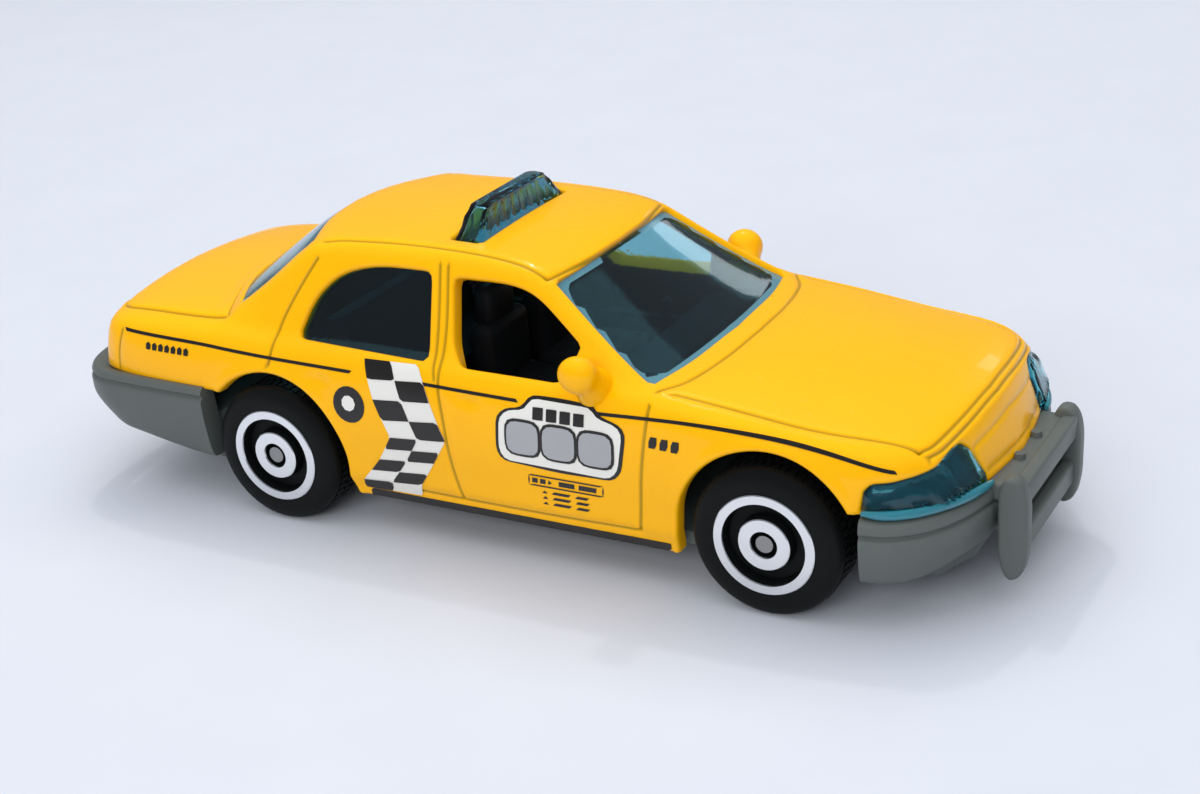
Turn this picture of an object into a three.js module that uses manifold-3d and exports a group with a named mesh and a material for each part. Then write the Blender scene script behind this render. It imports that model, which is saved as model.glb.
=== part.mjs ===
// A diecast toy sedan cab, about 78 mm long: a zinc body casting with a sheet of
// interior, glazing and plastic trim under it, on two nail axles with four free wheels.
// Millimetres, +X towards the nose, +Y to the car's left, +Z up. The origin is on the
// surface that the car stands on, under the middle of its length.

import * as THREE from "three";
import { mergeVertices } from "three/addons/utils/BufferGeometryUtils.js";
import { ConvexGeometry } from "three/addons/geometries/ConvexGeometry.js";
import Module from "manifold-3d";

const wasm = await Module();
wasm.setup();

// ---- Driving dimensions ----------------------------------------------------

const OVERALL_LENGTH = 78; // rear bumper to the front of the push bar
const BODY_HALF_WIDTH = 14.0; // across the doors, from the centre plane
const ROOF_HEIGHT = 21.9; // roof crown above the ground
const WAIST_HEIGHT = 15.0; // top of the doors above the ground
const SILL_HEIGHT = 3.9; // lower edge of the casting between the wheels
const WALL = 1.1; // thickness of the casting
const GLASS_THICKNESS = 0.6;
const GLASS_RECESS = 0.25; // outer face of the glass under the casting's surface
const CLEARANCE = 0.06; // between pieces that are pressed or laid together

const WHEELBASE = 41.2;
const FRONT_AXLE_X = 23.05;
const TYRE_RADIUS = 5.6;
const TYRE_WIDTH = 4.2;
const TYRE_FACE_Y = 14.2; // outer face of each tyre, from the centre plane
const ARCH_ROOM = 1.1; // between a tyre and the opening in the casting round it
const AXLE_RADIUS = 0.45;
const AXLE_PLAY = 0.1; // radial room of an axle in a wheel or a cradle
const RING_OUTER = [3.12, 3.68]; // radii of the outer foil ring on a wheel
const RING_INNER = [0.98, 1.92]; // radii of the inner foil ring on a wheel
const RING_THICKNESS = 0.12;
const CHANNEL_DEPTH = 0.7; // turned channel between the two foil rings
const NAIL_HEAD_RADIUS = 0.64;
const NAIL_HEAD_LENGTH = 0.3;

const WINDSCREEN_FOOT_X = 15.4; // where the windscreen meets the scuttle
const WINDSCREEN_HEAD_X = 5.0; // where it meets the roof
const REAR_GLASS_HEAD_X = -14.6;
const REAR_GLASS_FOOT_X = -24.4;
const CABIN_WAIST_HALF = 12.1; // cabin half width at the waist
const CABIN_ROOF_HALF = 9.0; // and at the gutter
const GUTTER_HEIGHT = 20.75;
const PILLAR_B_X = [-3.7, -1.2]; // rear and front edge of the middle post

const PLATE_THICKNESS = 1.0; // base plate
const PLATE_BOTTOM = 3.1; // underside of the base plate above the ground
const POST_RADIUS = 1.7; // riveting posts inside the casting
const RIVET_RADIUS = 0.75;
const RIVET_HEAD_RADIUS = 1.6;
const RIVET_HEAD_HEIGHT = 0.45;
const RIVET_SUNK = 0.1; // head of each rivet inside the plate's underside
const FRONT_POST_X = 29.0;
const REAR_POST_X = -27.0;

const BUMPER_WALL = 1.5;
const FRONT_BUMPER_Z = [3.9, 8.65];
const REAR_BUMPER_Z = [5.3, 10.1];
const BUMPER_PROUD = 0.25; // bumper skin outside the casting's side
const REAR_OVERHANG = 1.6; // rear bumper behind the casting
const PUSH_BAR_REACH = 2.3; // push bar ahead of the casting's nose
const PUSH_BAR_HALF = 6.9;
const PUSH_BAR_Z = [1.85, 9.6];
const PUSH_BAR_TUBE = 1.35; // side of a push bar member

const SIGN_BASE_HALF = 6.5;
const SIGN_TOP_HALF = 4.2;
const SIGN_TOP_Z = 24.2;
const SIGN_BASE_X = [-5.1, -2.2];
const SIGN_TOP_X = [-4.5, -2.8];

const FLOOR_HEIGHT = 7.4; // underside of the interior moulding
const FLOOR_THICKNESS = 0.8;
const SEAT_WIDTH = 6.2;
const SEAT_GAP = 1.6; // between the two front seats
const SEAT_TOP = 15.2;

const FACETS = 28; // sides of a round piece

// ---- Derived places -----------------------------------------------------------

const FRONT_END = OVERALL_LENGTH / 2;
const REAR_END = -OVERALL_LENGTH / 2;
const NOSE_X = FRONT_END - PUSH_BAR_REACH;
const TAIL_X = REAR_END + REAR_OVERHANG;
const REAR_AXLE_X = FRONT_AXLE_X - WHEELBASE;
const AXLE_Z = TYRE_RADIUS;
const ARCH_RADIUS = TYRE_RADIUS + ARCH_ROOM;
const TYRE_INNER_Y = TYRE_FACE_Y - TYRE_WIDTH;
const PLATE_TOP = PLATE_BOTTOM + PLATE_THICKNESS;
const FLOOR_TOP = FLOOR_HEIGHT + FLOOR_THICKNESS;
const FAR = 200; // longer than anything that is cut

// ---- Materials ------------------------------------------------------------------

const finish = (color, roughness, metalness) =>
  new THREE.MeshStandardMaterial({ color, roughness, metalness });
const PAINT = finish(0xf0a818, 0.25, 0.0);
const GREY_PLASTIC = finish(0x6e706e, 0.5, 0.0);
const BLACK_PLASTIC = finish(0x16181a, 0.45, 0.0);
const TYRE = finish(0x121314, 0.55, 0.0);
const FOIL = finish(0xd8dadc, 0.15, 1.0);
const STEEL = finish(0x9a9da0, 0.35, 1.0);
const GLAZING = finish(0x1f6f6a, 0.1, 0.0);

// ---- Shape helpers ----------------------------------------------------------------

// A closed three.js geometry as a solid that can be cut and joined. Its triangles are
// turned round if its outline was drawn the other way.
function solid(geometry) {
  const bare = geometry.clone();
  bare.deleteAttribute("normal");
  bare.deleteAttribute("uv");
  const merged = mergeVertices(bare, 1e-4);
  const vertProperties = new Float32Array(merged.getAttribute("position").array);
  const triVerts = new Uint32Array(merged.index.array);
  const build = () =>
    new wasm.Manifold(new wasm.Mesh({ numProp: 3, vertProperties, triVerts }));
  const made = build();
  if (made.volume() > 0) return made;
  for (let i = 0; i < triVerts.length; i += 3)
    [triVerts[i + 1], triVerts[i + 2]] = [triVerts[i + 2], triVerts[i + 1]];
  return build();
}

const car = new THREE.Group();

// Adds a solid to the car as one named mesh.
function piece(name, shape, material) {
  const { numProp, vertProperties, triVerts } = shape.getMesh();
  const position = new Float32Array((vertProperties.length / numProp) * 3);
  for (let i = 0; i < position.length / 3; i++)
    position.set(vertProperties.subarray(i * numProp, i * numProp + 3), i * 3);
  const geometry = new THREE.BufferGeometry();
  geometry.setAttribute("position", new THREE.BufferAttribute(position, 3));
  geometry.setIndex(new THREE.BufferAttribute(new Uint32Array(triVerts), 1));
  geometry.computeVertexNormals();
  const mesh = new THREE.Mesh(geometry, material);
  mesh.name = name;
  car.add(mesh);
}

const box = ([x0, x1], [y0, y1], [z0, z1]) =>
  solid(
    new THREE.BoxGeometry(x1 - x0, y1 - y0, z1 - z0).translate(
      (x0 + x1) / 2,
      (y0 + y1) / 2,
      (z0 + z1) / 2,
    ),
  );

const hull = (points) =>
  solid(new ConvexGeometry(points.map((p) => new THREE.Vector3(...p))));

// An outline in X and Z, extruded from y0 to y1.
const prismY = (outline, y0, y1) =>
  solid(
    new THREE.ExtrudeGeometry(
      new THREE.Shape(outline.map(([x, z]) => new THREE.Vector2(x, z))),
      { depth: y1 - y0, bevelEnabled: false },
    )
      .rotateX(Math.PI / 2)
      .translate(0, y1, 0),
  );

// A plan shape in X and Y, extruded from z0 to z1.
const prismZ = (shape, z0, z1) =>
  solid(
    new THREE.ExtrudeGeometry(shape, {
      depth: z1 - z0,
      bevelEnabled: false,
      curveSegments: 6,
    }).translate(0, 0, z0),
  );

const rodY = (radius, y0, y1, x, z, facets = FACETS) =>
  solid(
    new THREE.CylinderGeometry(radius, radius, y1 - y0, facets).translate(
      x,
      (y0 + y1) / 2,
      z,
    ),
  );

const rodZ = (radius, z0, z1, x, y, facets = FACETS) =>
  solid(
    new THREE.CylinderGeometry(radius, radius, z1 - z0, facets)
      .rotateX(Math.PI / 2)
      .translate(x, y, (z0 + z1) / 2),
  );

const join = (first, ...rest) => rest.reduce((a, b) => a.add(b), first);

// Rings of points, all with the same count, skinned into a closed solid.
function loft(rings) {
  const count = rings[0].length;
  const position = rings.flat(2);
  const index = [];
  for (let r = 0; r + 1 < rings.length; r++)
    for (let i = 0; i < count; i++) {
      const a = r * count + i;
      const b = r * count + ((i + 1) % count);
      index.push(a, b, a + count, b, b + count, a + count);
    }
  const last = (rings.length - 1) * count;
  for (let i = 1; i + 1 < count; i++) {
    index.push(0, i + 1, i);
    index.push(last, last + i, last + i + 1);
  }
  const geometry = new THREE.BufferGeometry();
  geometry.setAttribute(
    "position",
    new THREE.BufferAttribute(new Float32Array(position), 3),
  );
  geometry.setIndex(index);
  return solid(geometry);
}

// The value at x of a line through [x, value] points, and the points' values between.
function along(points, x) {
  const next = points.findIndex(([px]) => px >= x);
  if (next <= 0) return points[next === 0 ? 0 : points.length - 1][1];
  const [x0, v0] = points[next - 1];
  const [x1, v1] = points[next];
  return v0 + ((v1 - v0) * (x - x0)) / (x1 - x0);
}

// A polyline in X and Z moved inwards by a distance, its inside being on the right.
function inward(points, distance) {
  return points.map(([x, z], i) => {
    const [xa, za] = points[Math.max(i - 1, 0)];
    const [xb, zb] = points[Math.min(i + 1, points.length - 1)];
    const length = Math.hypot(xb - xa, zb - za);
    return [
      x + ((zb - za) / length) * distance,
      z - ((xb - xa) / length) * distance,
    ];
  });
}

// ---- The casting's two volumes ------------------------------------------------------

const between = (a, b, share) => a + (b - a) * share;

// Along the car: place, half width, shoulder height and height of the middle of the deck.
const LOWER_STATIONS = [
  [TAIL_X, -3.6, -1.9, -0.7],
  [TAIL_X + 1.0, -2.0, -1.1, -0.45],
  [TAIL_X + 4.0, -0.7, -0.7, -0.1],
  [between(TAIL_X, REAR_AXLE_X, 0.7), 0.0, -0.6, 0.35],
  [REAR_AXLE_X, 0.1, -0.6, 0.35],
  [between(REAR_AXLE_X, FRONT_AXLE_X, 0.5), 0.0, -0.6, 0.3],
  [WINDSCREEN_FOOT_X - 1.0, 0.0, -0.9, 0.2],
  [FRONT_AXLE_X, 0.1, -1.7, -0.6],
  [between(FRONT_AXLE_X, NOSE_X, 0.5), -0.2, -2.7, -1.5],
  [NOSE_X - 3.0, -1.6, -3.4, -2.3],
  [NOSE_X - 0.8, -4.0, -4.0, -2.9],
  [NOSE_X, -5.8, -4.6, -3.7],
];
const ROCKER_TUCK = 1.1; // lower edge of the side inside its widest line
const WIDEST_Z = 9.0;
const SHOULDER_ROUND = 1.5;
const SHOULDER_STEPS = 4;

// The lower body as a solid, shrunk by an inset.
function lowerBody(inset) {
  const rings = LOWER_STATIONS.map(([x, width, shoulder, middle]) => {
    const place = THREE.MathUtils.clamp(x, TAIL_X + inset, NOSE_X - inset);
    const half = BODY_HALF_WIDTH + width - inset;
    const top = WAIST_HEIGHT + shoulder - inset;
    const crown = WAIST_HEIGHT + middle - inset;
    const side = [
      [half - ROCKER_TUCK, SILL_HEIGHT - inset],
      [half, Math.min(WIDEST_Z, top - SHOULDER_ROUND)],
    ];
    for (let i = 0; i <= SHOULDER_STEPS; i++) {
      const turn = (i / SHOULDER_STEPS) * (Math.PI / 2);
      side.push([
        half - SHOULDER_ROUND * (1 - Math.cos(turn)),
        top - SHOULDER_ROUND * (1 - Math.sin(turn)) + 0.001 * i,
      ]);
    }
    side.push([half / 2, between(top, crown, 0.75)], [0, crown]);
    const ring = side.map(([y, z]) => [place, -y, z]);
    side
      .slice(0, -1)
      .reverse()
      .forEach(([y, z]) => ring.push([place, y, z]));
    return ring;
  });
  for (let i = 1; i < rings.length; i++)
    if (rings[i][0][0] <= rings[i - 1][0][0])
      rings[i].forEach((point) => (point[0] = rings[i - 1][0][0] + 0.02));
  return loft(rings);
}

// The cabin's centre line from the rear glass over the roof to the windscreen.
const CABIN_FOOT_Z = WAIST_HEIGHT - 2.0;
const ROOF_DROP = ROOF_HEIGHT - 1.1; // where the roof turns down to either glass
const CABIN_LINE = [
  [REAR_GLASS_FOOT_X - 2.2, CABIN_FOOT_Z],
  [REAR_GLASS_HEAD_X, ROOF_DROP],
  [REAR_GLASS_HEAD_X + 2.2, ROOF_HEIGHT - 0.45],
  [REAR_GLASS_HEAD_X + 6.0, ROOF_HEIGHT - 0.08],
  [WINDSCREEN_HEAD_X - 5.5, ROOF_HEIGHT],
  [WINDSCREEN_HEAD_X - 1.6, ROOF_HEIGHT - 0.4],
  [WINDSCREEN_HEAD_X, ROOF_DROP],
  [WINDSCREEN_FOOT_X + 2.4, CABIN_FOOT_Z],
];
const CABIN_STEPS = 5; // sections along each sloping glass
const GUTTER_ROUND = 1.1;

function cabinHalf(z) {
  const share = (z - WAIST_HEIGHT) / (GUTTER_HEIGHT - WAIST_HEIGHT);
  return between(CABIN_WAIST_HALF, CABIN_ROOF_HALF, share);
}

// The cabin as a solid, shrunk by an inset.
function cabin(inset) {
  const line = inward(CABIN_LINE, inset);
  const places = [];
  line.slice(0, -1).forEach(([x], i) => {
    const sloping = i === 0 || i === line.length - 2;
    const steps = sloping ? CABIN_STEPS : 1;
    for (let s = 0; s < steps; s++)
      places.push(between(x, line[i + 1][0], s / steps));
  });
  places.push(line[line.length - 1][0]);
  const foot = CABIN_FOOT_Z - 1.0 - inset;
  const rings = places.map((x) => {
    const top = along(line, x);
    const edge = Math.min(top, GUTTER_HEIGHT - inset);
    const half = cabinHalf(edge + inset) - inset;
    const low = cabinHalf(foot + inset) - inset;
    const ring = [
      [x, -low, foot],
      [x, -between(half, low, 0.02), edge - 0.3],
      [x, -half + 0.25, edge],
      [x, -half + GUTTER_ROUND, between(edge, top, 0.55)],
      [x, -half * 0.45, between(edge, top, 0.92)],
      [x, 0, top],
    ];
    ring
      .slice(0, -1)
      .reverse()
      .forEach(([px, y, z]) => ring.push([px, -y, z]));
    return ring;
  });
  return loft(rings);
}

// ---- Openings in the casting ----------------------------------------------------------

const WINDOW_FOOT = WAIST_HEIGHT + 0.35;
const WINDOW_HEAD = GUTTER_HEIGHT - 0.15;
const slopeX = (foot, head, z) =>
  between(foot, head, (z - WAIST_HEIGHT) / (ROOF_DROP - WAIST_HEIGHT));
const POST_A_WIDTH = 3.4;
const POST_C_WIDTH = 2.0;

// Side window outlines in X and Z, grown by a margin.
const frontWindow = (grow) => [
  [PILLAR_B_X[1] - grow, WINDOW_FOOT - grow],
  [
    slopeX(WINDSCREEN_FOOT_X, WINDSCREEN_HEAD_X, WINDOW_FOOT) -
      POST_A_WIDTH * 2 +
      grow,
    WINDOW_FOOT - grow,
  ],
  [
    slopeX(WINDSCREEN_FOOT_X, WINDSCREEN_HEAD_X, WINDOW_HEAD) -
      POST_A_WIDTH +
      grow,
    WINDOW_HEAD + grow,
  ],
  [PILLAR_B_X[1] - 0.5 - grow, WINDOW_HEAD + grow],
];
const rearWindow = (grow) => [
  [
    slopeX(REAR_GLASS_FOOT_X, REAR_GLASS_HEAD_X, WINDOW_FOOT) +
      POST_C_WIDTH * 4 -
      grow,
    WINDOW_FOOT - grow,
  ],
  [PILLAR_B_X[0] + grow, WINDOW_FOOT - grow],
  [PILLAR_B_X[0] - 0.3 + grow, WINDOW_HEAD + grow],
  [
    slopeX(REAR_GLASS_FOOT_X, REAR_GLASS_HEAD_X, WINDOW_HEAD) +
      POST_C_WIDTH * 1.8 -
      grow,
    WINDOW_HEAD + grow,
  ],
];

// A glass opening across the car between two heights of a slope, as a block through it.
function acrossOpening(foot, head, reach, grow) {
  const low = WAIST_HEIGHT + 0.2 - grow;
  const high = ROOF_DROP - 0.6 + grow;
  const corners = [low, high].flatMap((z) => {
    const half = cabinHalf(z) - 0.9 + grow;
    const x = slopeX(foot, head, z);
    return [-half, half].flatMap((y) => [
      [x - reach, y, z - reach * 0.9],
      [x + reach, y, z + reach * 0.9],
    ]);
  });
  return hull(corners);
}
const screenOpening = (grow) =>
  acrossOpening(WINDSCREEN_FOOT_X, WINDSCREEN_HEAD_X, 2.6, grow);
function rearOpening(grow) {
  const low = WAIST_HEIGHT + 0.6 - grow;
  const high = ROOF_DROP - 0.7 + grow;
  const reach = 2.2;
  return hull(
    [low, high].flatMap((z) => {
      const half = cabinHalf(z) - 1.5 + grow;
      const x = slopeX(REAR_GLASS_FOOT_X, REAR_GLASS_HEAD_X, z);
      return [-half, half].flatMap((y) => [
        [x + reach, y, z - reach * 0.9],
        [x - reach, y, z + reach * 0.9],
      ]);
    }),
  );
}

// The corner of the nose that a headlamp fills.
function lampCorner(side, grow) {
  const back = NOSE_X - 6.8 - grow;
  return hull([
    [back, side * (BODY_HALF_WIDTH + 2), 9.3 - grow],
    [back, side * (BODY_HALF_WIDTH + 2), 11.3 + grow],
    [back + 2.2, side * (BODY_HALF_WIDTH - 3.6 - grow), 9.3 - grow],
    [back + 2.2, side * (BODY_HALF_WIDTH - 3.6 - grow), 11.5 + grow],
    [FRONT_END, side * (BODY_HALF_WIDTH + 2), 9.0 - grow],
    [FRONT_END, side * (BODY_HALF_WIDTH + 2), 12.6 + grow],
    [FRONT_END, side * (BODY_HALF_WIDTH - 5.6 - grow), 9.0 - grow],
    [FRONT_END, side * (BODY_HALF_WIDTH - 5.6 - grow), 12.6 + grow],
  ]);
}

const signStem = (grow) =>
  box(
    [SIGN_BASE_X[0] + 0.5 - grow, SIGN_BASE_X[1] - 0.5 + grow],
    [-(SIGN_BASE_HALF - 0.7 + grow), SIGN_BASE_HALF - 0.7 + grow],
    [ROOF_HEIGHT - 2.6, ROOF_HEIGHT + 0.6],
  );

// ---- Body casting -------------------------------------------------------------------------

const MIRROR_X = 10.0;
const MIRROR_Z = WAIST_HEIGHT + 1.0;
const MIRROR_REACH = 1.25; // mirror outside the doors

function mirror(side) {
  const outer = BODY_HALF_WIDTH + MIRROR_REACH;
  const root = CABIN_WAIST_HALF - 1.2;
  const points = [];
  for (const x of [MIRROR_X - 1.5, MIRROR_X + 1.2])
    for (const z of [MIRROR_Z - 1.2, MIRROR_Z + 0.7]) {
      points.push([x, side * (outer - 0.5), z]);
      points.push([
        between(MIRROR_X, x, 0.55),
        side * outer,
        between(MIRROR_Z, z, 0.55),
      ]);
      points.push([
        between(MIRROR_X + 0.6, x, 0.6),
        side * root,
        between(MIRROR_Z - 1.4, z, 0.4),
      ]);
    }
  return hull(points);
}

function bodyCasting() {
  const outer = lowerBody(0).add(cabin(0));
  const inner = lowerBody(WALL).add(cabin(WALL));
  let shell = join(outer, mirror(1), mirror(-1)).subtract(inner);
  shell = shell
    .subtract(box([-FAR, REAR_AXLE_X], [-FAR, FAR], [-FAR, REAR_BUMPER_Z[1] + CLEARANCE]))
    .subtract(box([FRONT_AXLE_X, FAR], [-FAR, FAR], [-FAR, FRONT_BUMPER_Z[1] + CLEARANCE]));
  for (const x of [FRONT_POST_X, REAR_POST_X]) {
    const post = rodZ(POST_RADIUS, PLATE_TOP + CLEARANCE, WAIST_HEIGHT, x, 0)
      .intersect(outer)
      .subtract(
        rodZ(RIVET_RADIUS + CLEARANCE, -FAR, PLATE_TOP + 4.0, x, 0),
      );
    shell = shell.add(post);
  }
  for (const x of [FRONT_AXLE_X, REAR_AXLE_X])
    for (const side of [-1, 1]) {
      const ends = [side * (TYRE_INNER_Y - 1.0), side * FAR].sort((a, b) => a - b);
      shell = shell.subtract(rodY(ARCH_RADIUS, ...ends, x, AXLE_Z));
    }
  for (const window of [frontWindow(0), rearWindow(0)])
    shell = shell.subtract(prismY(window, -FAR, FAR));
  return shell
    .subtract(screenOpening(0))
    .subtract(rearOpening(0))
    .subtract(signStem(CLEARANCE))
    .subtract(lampCorner(1, CLEARANCE))
    .subtract(lampCorner(-1, CLEARANCE));
}
piece("body_casting", bodyCasting(), PAINT);

// ---- Glazing ----------------------------------------------------------------------------------

const glassLayer = cabin(GLASS_RECESS)
  .subtract(cabin(GLASS_RECESS + GLASS_THICKNESS))
  .subtract(lowerBody(-CLEARANCE));
piece(
  "windscreen",
  glassLayer.intersect(screenOpening(-CLEARANCE)),
  GLAZING,
);
piece("rear_window", glassLayer.intersect(rearOpening(-CLEARANCE)), GLAZING);
for (const [side, word] of [[1, "left"], [-1, "right"]]) {
  const ends = side > 0 ? [0.5, FAR] : [-FAR, -0.5];
  piece(
    `${word}_rear_side_window`,
    glassLayer.intersect(prismY(rearWindow(-CLEARANCE), ...ends)),
    GLAZING,
  );
  piece(
    `${word}_headlamp`,
    lowerBody(0)
      .subtract(lowerBody(WALL))
      .intersect(lampCorner(side, 0))
      .subtract(box([-FAR, FAR], [-FAR, FAR], [-FAR, FRONT_BUMPER_Z[1] + CLEARANCE])),
    GLAZING,
  );
}

const signBlock = hull(
  [-1, 1].flatMap((side) => [
    [SIGN_BASE_X[0], side * SIGN_BASE_HALF, ROOF_HEIGHT + CLEARANCE],
    [SIGN_BASE_X[1], side * SIGN_BASE_HALF, ROOF_HEIGHT + CLEARANCE],
    [SIGN_TOP_X[0], side * SIGN_TOP_HALF, SIGN_TOP_Z],
    [SIGN_TOP_X[1], side * SIGN_TOP_HALF, SIGN_TOP_Z],
  ]),
);
piece("roof_sign", signBlock.add(signStem(0)), GLAZING);

// ---- Plastic base, bumpers and push bar ------------------------------------------------------------

// A plan outline with straight sides and bowed, round-cornered ends.
function footprint(rear, front, half, corner) {
  const bow = 0.6;
  const shape = new THREE.Shape();
  shape.moveTo(rear + corner, -half);
  shape.lineTo(front - corner, -half);
  shape.bezierCurveTo(
    front - corner * bow, -half,
    front, -half + corner * bow,
    front, 0,
  );
  shape.bezierCurveTo(
    front, half - corner * bow,
    front - corner * bow, half,
    front - corner, half,
  );
  shape.lineTo(rear + corner, half);
  shape.bezierCurveTo(
    rear + corner * bow, half,
    rear, half - corner * bow,
    rear, 0,
  );
  shape.bezierCurveTo(
    rear, -half + corner * bow,
    rear + corner * bow, -half,
    rear + corner, -half,
  );
  return shape;
}
const END_CORNER = 6.5;
const BUMPER_HALF = BODY_HALF_WIDTH + BUMPER_PROUD;
const BUMPER_FRONT_X = NOSE_X + 0.4;
const plan = (inset, z0, z1) =>
  prismZ(
    footprint(
      REAR_END + inset,
      BUMPER_FRONT_X - inset,
      BUMPER_HALF - inset,
      END_CORNER,
    ),
    z0,
    z1,
  );

// Room round a wheel that the plastic keeps clear of.
const WHEEL_ROOM = 0.9;
function wheelRoom(inner) {
  const reach = TYRE_RADIUS + WHEEL_ROOM;
  return join(
    ...[FRONT_AXLE_X, REAR_AXLE_X].flatMap((x) =>
      [-1, 1].map((side) => {
        const ends = [side * inner, side * FAR].sort((a, b) => a - b);
        return rodY(reach, ...ends, x, AXLE_Z).add(
          box([x - reach, x + reach], ends, [-FAR, AXLE_Z]),
        );
      }),
    ),
  );
}
const wheels = wheelRoom(TYRE_INNER_Y - 0.5);

// A bumper band, with a foot under it that the base plate's rim lies against.
const FOOT_INSET = 0.9;
function bumper(z, from, to) {
  const band = plan(0, ...z).add(plan(FOOT_INSET, PLATE_BOTTOM, z[1]));
  return band
    .subtract(plan(BUMPER_WALL, -FAR, FAR))
    .intersect(box([from, to], [-FAR, FAR], [PLATE_BOTTOM, z[1]]))
    .subtract(wheels);
}
const bumperGap = 0.3;
piece(
  "front_bumper",
  bumper(FRONT_BUMPER_Z, FRONT_AXLE_X + ARCH_RADIUS + bumperGap, FAR),
  GREY_PLASTIC,
);
piece(
  "rear_bumper",
  bumper(REAR_BUMPER_Z, -FAR, REAR_AXLE_X - ARCH_RADIUS + bumperGap),
  GREY_PLASTIC,
);

function cradle(x) {
  const blocks = [-1, 1].map((side) =>
    box(
      [x - 1.8, x + 1.8],
      [side * 6.5 - 1.4, side * 6.5 + 1.4],
      [PLATE_TOP - 0.2, AXLE_Z + AXLE_RADIUS],
    ),
  );
  const groove = AXLE_RADIUS + AXLE_PLAY;
  return join(...blocks).subtract(
    rodY(groove, -FAR, FAR, x, AXLE_Z).add(
      box([x - groove, x + groove], [-FAR, FAR], [AXLE_Z, FAR]),
    ),
  );
}

const RIM_GAP = 0.5; // between the plate and the casting's lower edge
function basePlate() {
  const half = BODY_HALF_WIDTH - ROCKER_TUCK - WALL - RIM_GAP;
  let plate = plan(BUMPER_WALL + CLEARANCE, PLATE_BOTTOM, PLATE_TOP)
    .intersect(box([-FAR, FAR], [-half, half], [PLATE_BOTTOM, PLATE_TOP]))
    .subtract(wheels);
  plate = join(plate, cradle(FRONT_AXLE_X), cradle(REAR_AXLE_X));
  const seat = PLATE_BOTTOM + RIVET_SUNK + RIVET_HEAD_HEIGHT + CLEARANCE;
  for (const x of [FRONT_POST_X, REAR_POST_X])
    plate = plate
      .subtract(rodZ(RIVET_RADIUS + CLEARANCE, -FAR, FAR, x, 0))
      .subtract(rodZ(RIVET_HEAD_RADIUS + CLEARANCE, -FAR, seat, x, 0));
  return plate;
}
piece("base_plate", basePlate(), GREY_PLASTIC);

function pushBar() {
  const tube = PUSH_BAR_TUBE;
  const front = [FRONT_END - tube, FRONT_END];
  const upright = (side) => {
    const ys = [side * (PUSH_BAR_HALF - tube), side * PUSH_BAR_HALF];
    ys.sort((a, b) => a - b);
    return box([BUMPER_FRONT_X + CLEARANCE, FRONT_END - 0.35], ys, PUSH_BAR_Z);
  };
  const rail = (z) =>
    box(front, [-PUSH_BAR_HALF + 0.3, PUSH_BAR_HALF - 0.3], [z, z + tube * 1.2]);
  return join(
    upright(1),
    upright(-1),
    rail(PUSH_BAR_Z[0] + 1.9),
    rail(PUSH_BAR_Z[1] - 2.3),
  );
}
piece("push_bar", pushBar(), GREY_PLASTIC);

function rivet(x) {
  const low = PLATE_BOTTOM + RIVET_SUNK;
  return rodZ(RIVET_HEAD_RADIUS, low, low + RIVET_HEAD_HEIGHT, x, 0).add(
    rodZ(RIVET_RADIUS, low, PLATE_TOP + 3.5, x, 0),
  );
}
piece("front_rivet", rivet(FRONT_POST_X), STEEL);
piece("rear_rivet", rivet(REAR_POST_X), STEEL);

// ---- Interior --------------------------------------------------------------------------------------

const TUB_HALF = TYRE_INNER_Y - 0.9;
const TUB_FRONT = WINDSCREEN_FOOT_X - 1.6;
const TUB_REAR = REAR_GLASS_HEAD_X - 3.0;
const TUB_WALL = 0.8;
const TUB_RIM = FLOOR_TOP + 3.0;

piece(
  "interior_tub",
  box([TUB_REAR, TUB_FRONT], [-TUB_HALF, TUB_HALF], [FLOOR_HEIGHT, TUB_RIM]).subtract(
    box(
      [TUB_REAR + TUB_WALL, TUB_FRONT - TUB_WALL],
      [-TUB_HALF + TUB_WALL, TUB_HALF - TUB_WALL],
      [FLOOR_TOP, FAR],
    ),
  ),
  BLACK_PLASTIC,
);

const SEAT_LIFT = FLOOR_TOP + CLEARANCE;
function seat(x, width) {
  const cushion = [
    [x - 4.6, SEAT_LIFT],
    [x + 3.2, SEAT_LIFT],
    [x + 3.4, SEAT_LIFT + 2.2],
    [x - 1.9, SEAT_LIFT + 1.9],
    [x - 3.3, SEAT_TOP],
    [x - 4.9, SEAT_TOP - 0.3],
  ];
  return prismY(cushion, -width / 2, width / 2);
}
const FRONT_SEAT_X = 0.6;
const REAR_SEAT_X = -11.2;
for (const [side, word] of [[1, "left"], [-1, "right"]])
  piece(
    `${word}_front_seat`,
    seat(FRONT_SEAT_X, SEAT_WIDTH).translate([
      0,
      (side * (SEAT_WIDTH + SEAT_GAP)) / 2,
      0,
    ]),
    BLACK_PLASTIC,
  );
piece(
  "rear_bench",
  seat(REAR_SEAT_X, 2 * (TUB_HALF - TUB_WALL - CLEARANCE)),
  BLACK_PLASTIC,
);

const DASH_TOP = WAIST_HEIGHT - 0.9;
const DASH_BACK = TUB_FRONT - TUB_WALL - 4.2;
piece(
  "dashboard",
  prismY(
    [
      [DASH_BACK + 0.8, FLOOR_TOP + 2.6],
      [TUB_FRONT - TUB_WALL - CLEARANCE, SEAT_LIFT],
      [TUB_FRONT - TUB_WALL - CLEARANCE, DASH_TOP],
      [DASH_BACK + 0.4, DASH_TOP],
      [DASH_BACK, DASH_TOP - 0.9],
    ],
    -(TUB_HALF - TUB_WALL - CLEARANCE),
    TUB_HALF - TUB_WALL - CLEARANCE,
  ),
  BLACK_PLASTIC,
);

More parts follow.
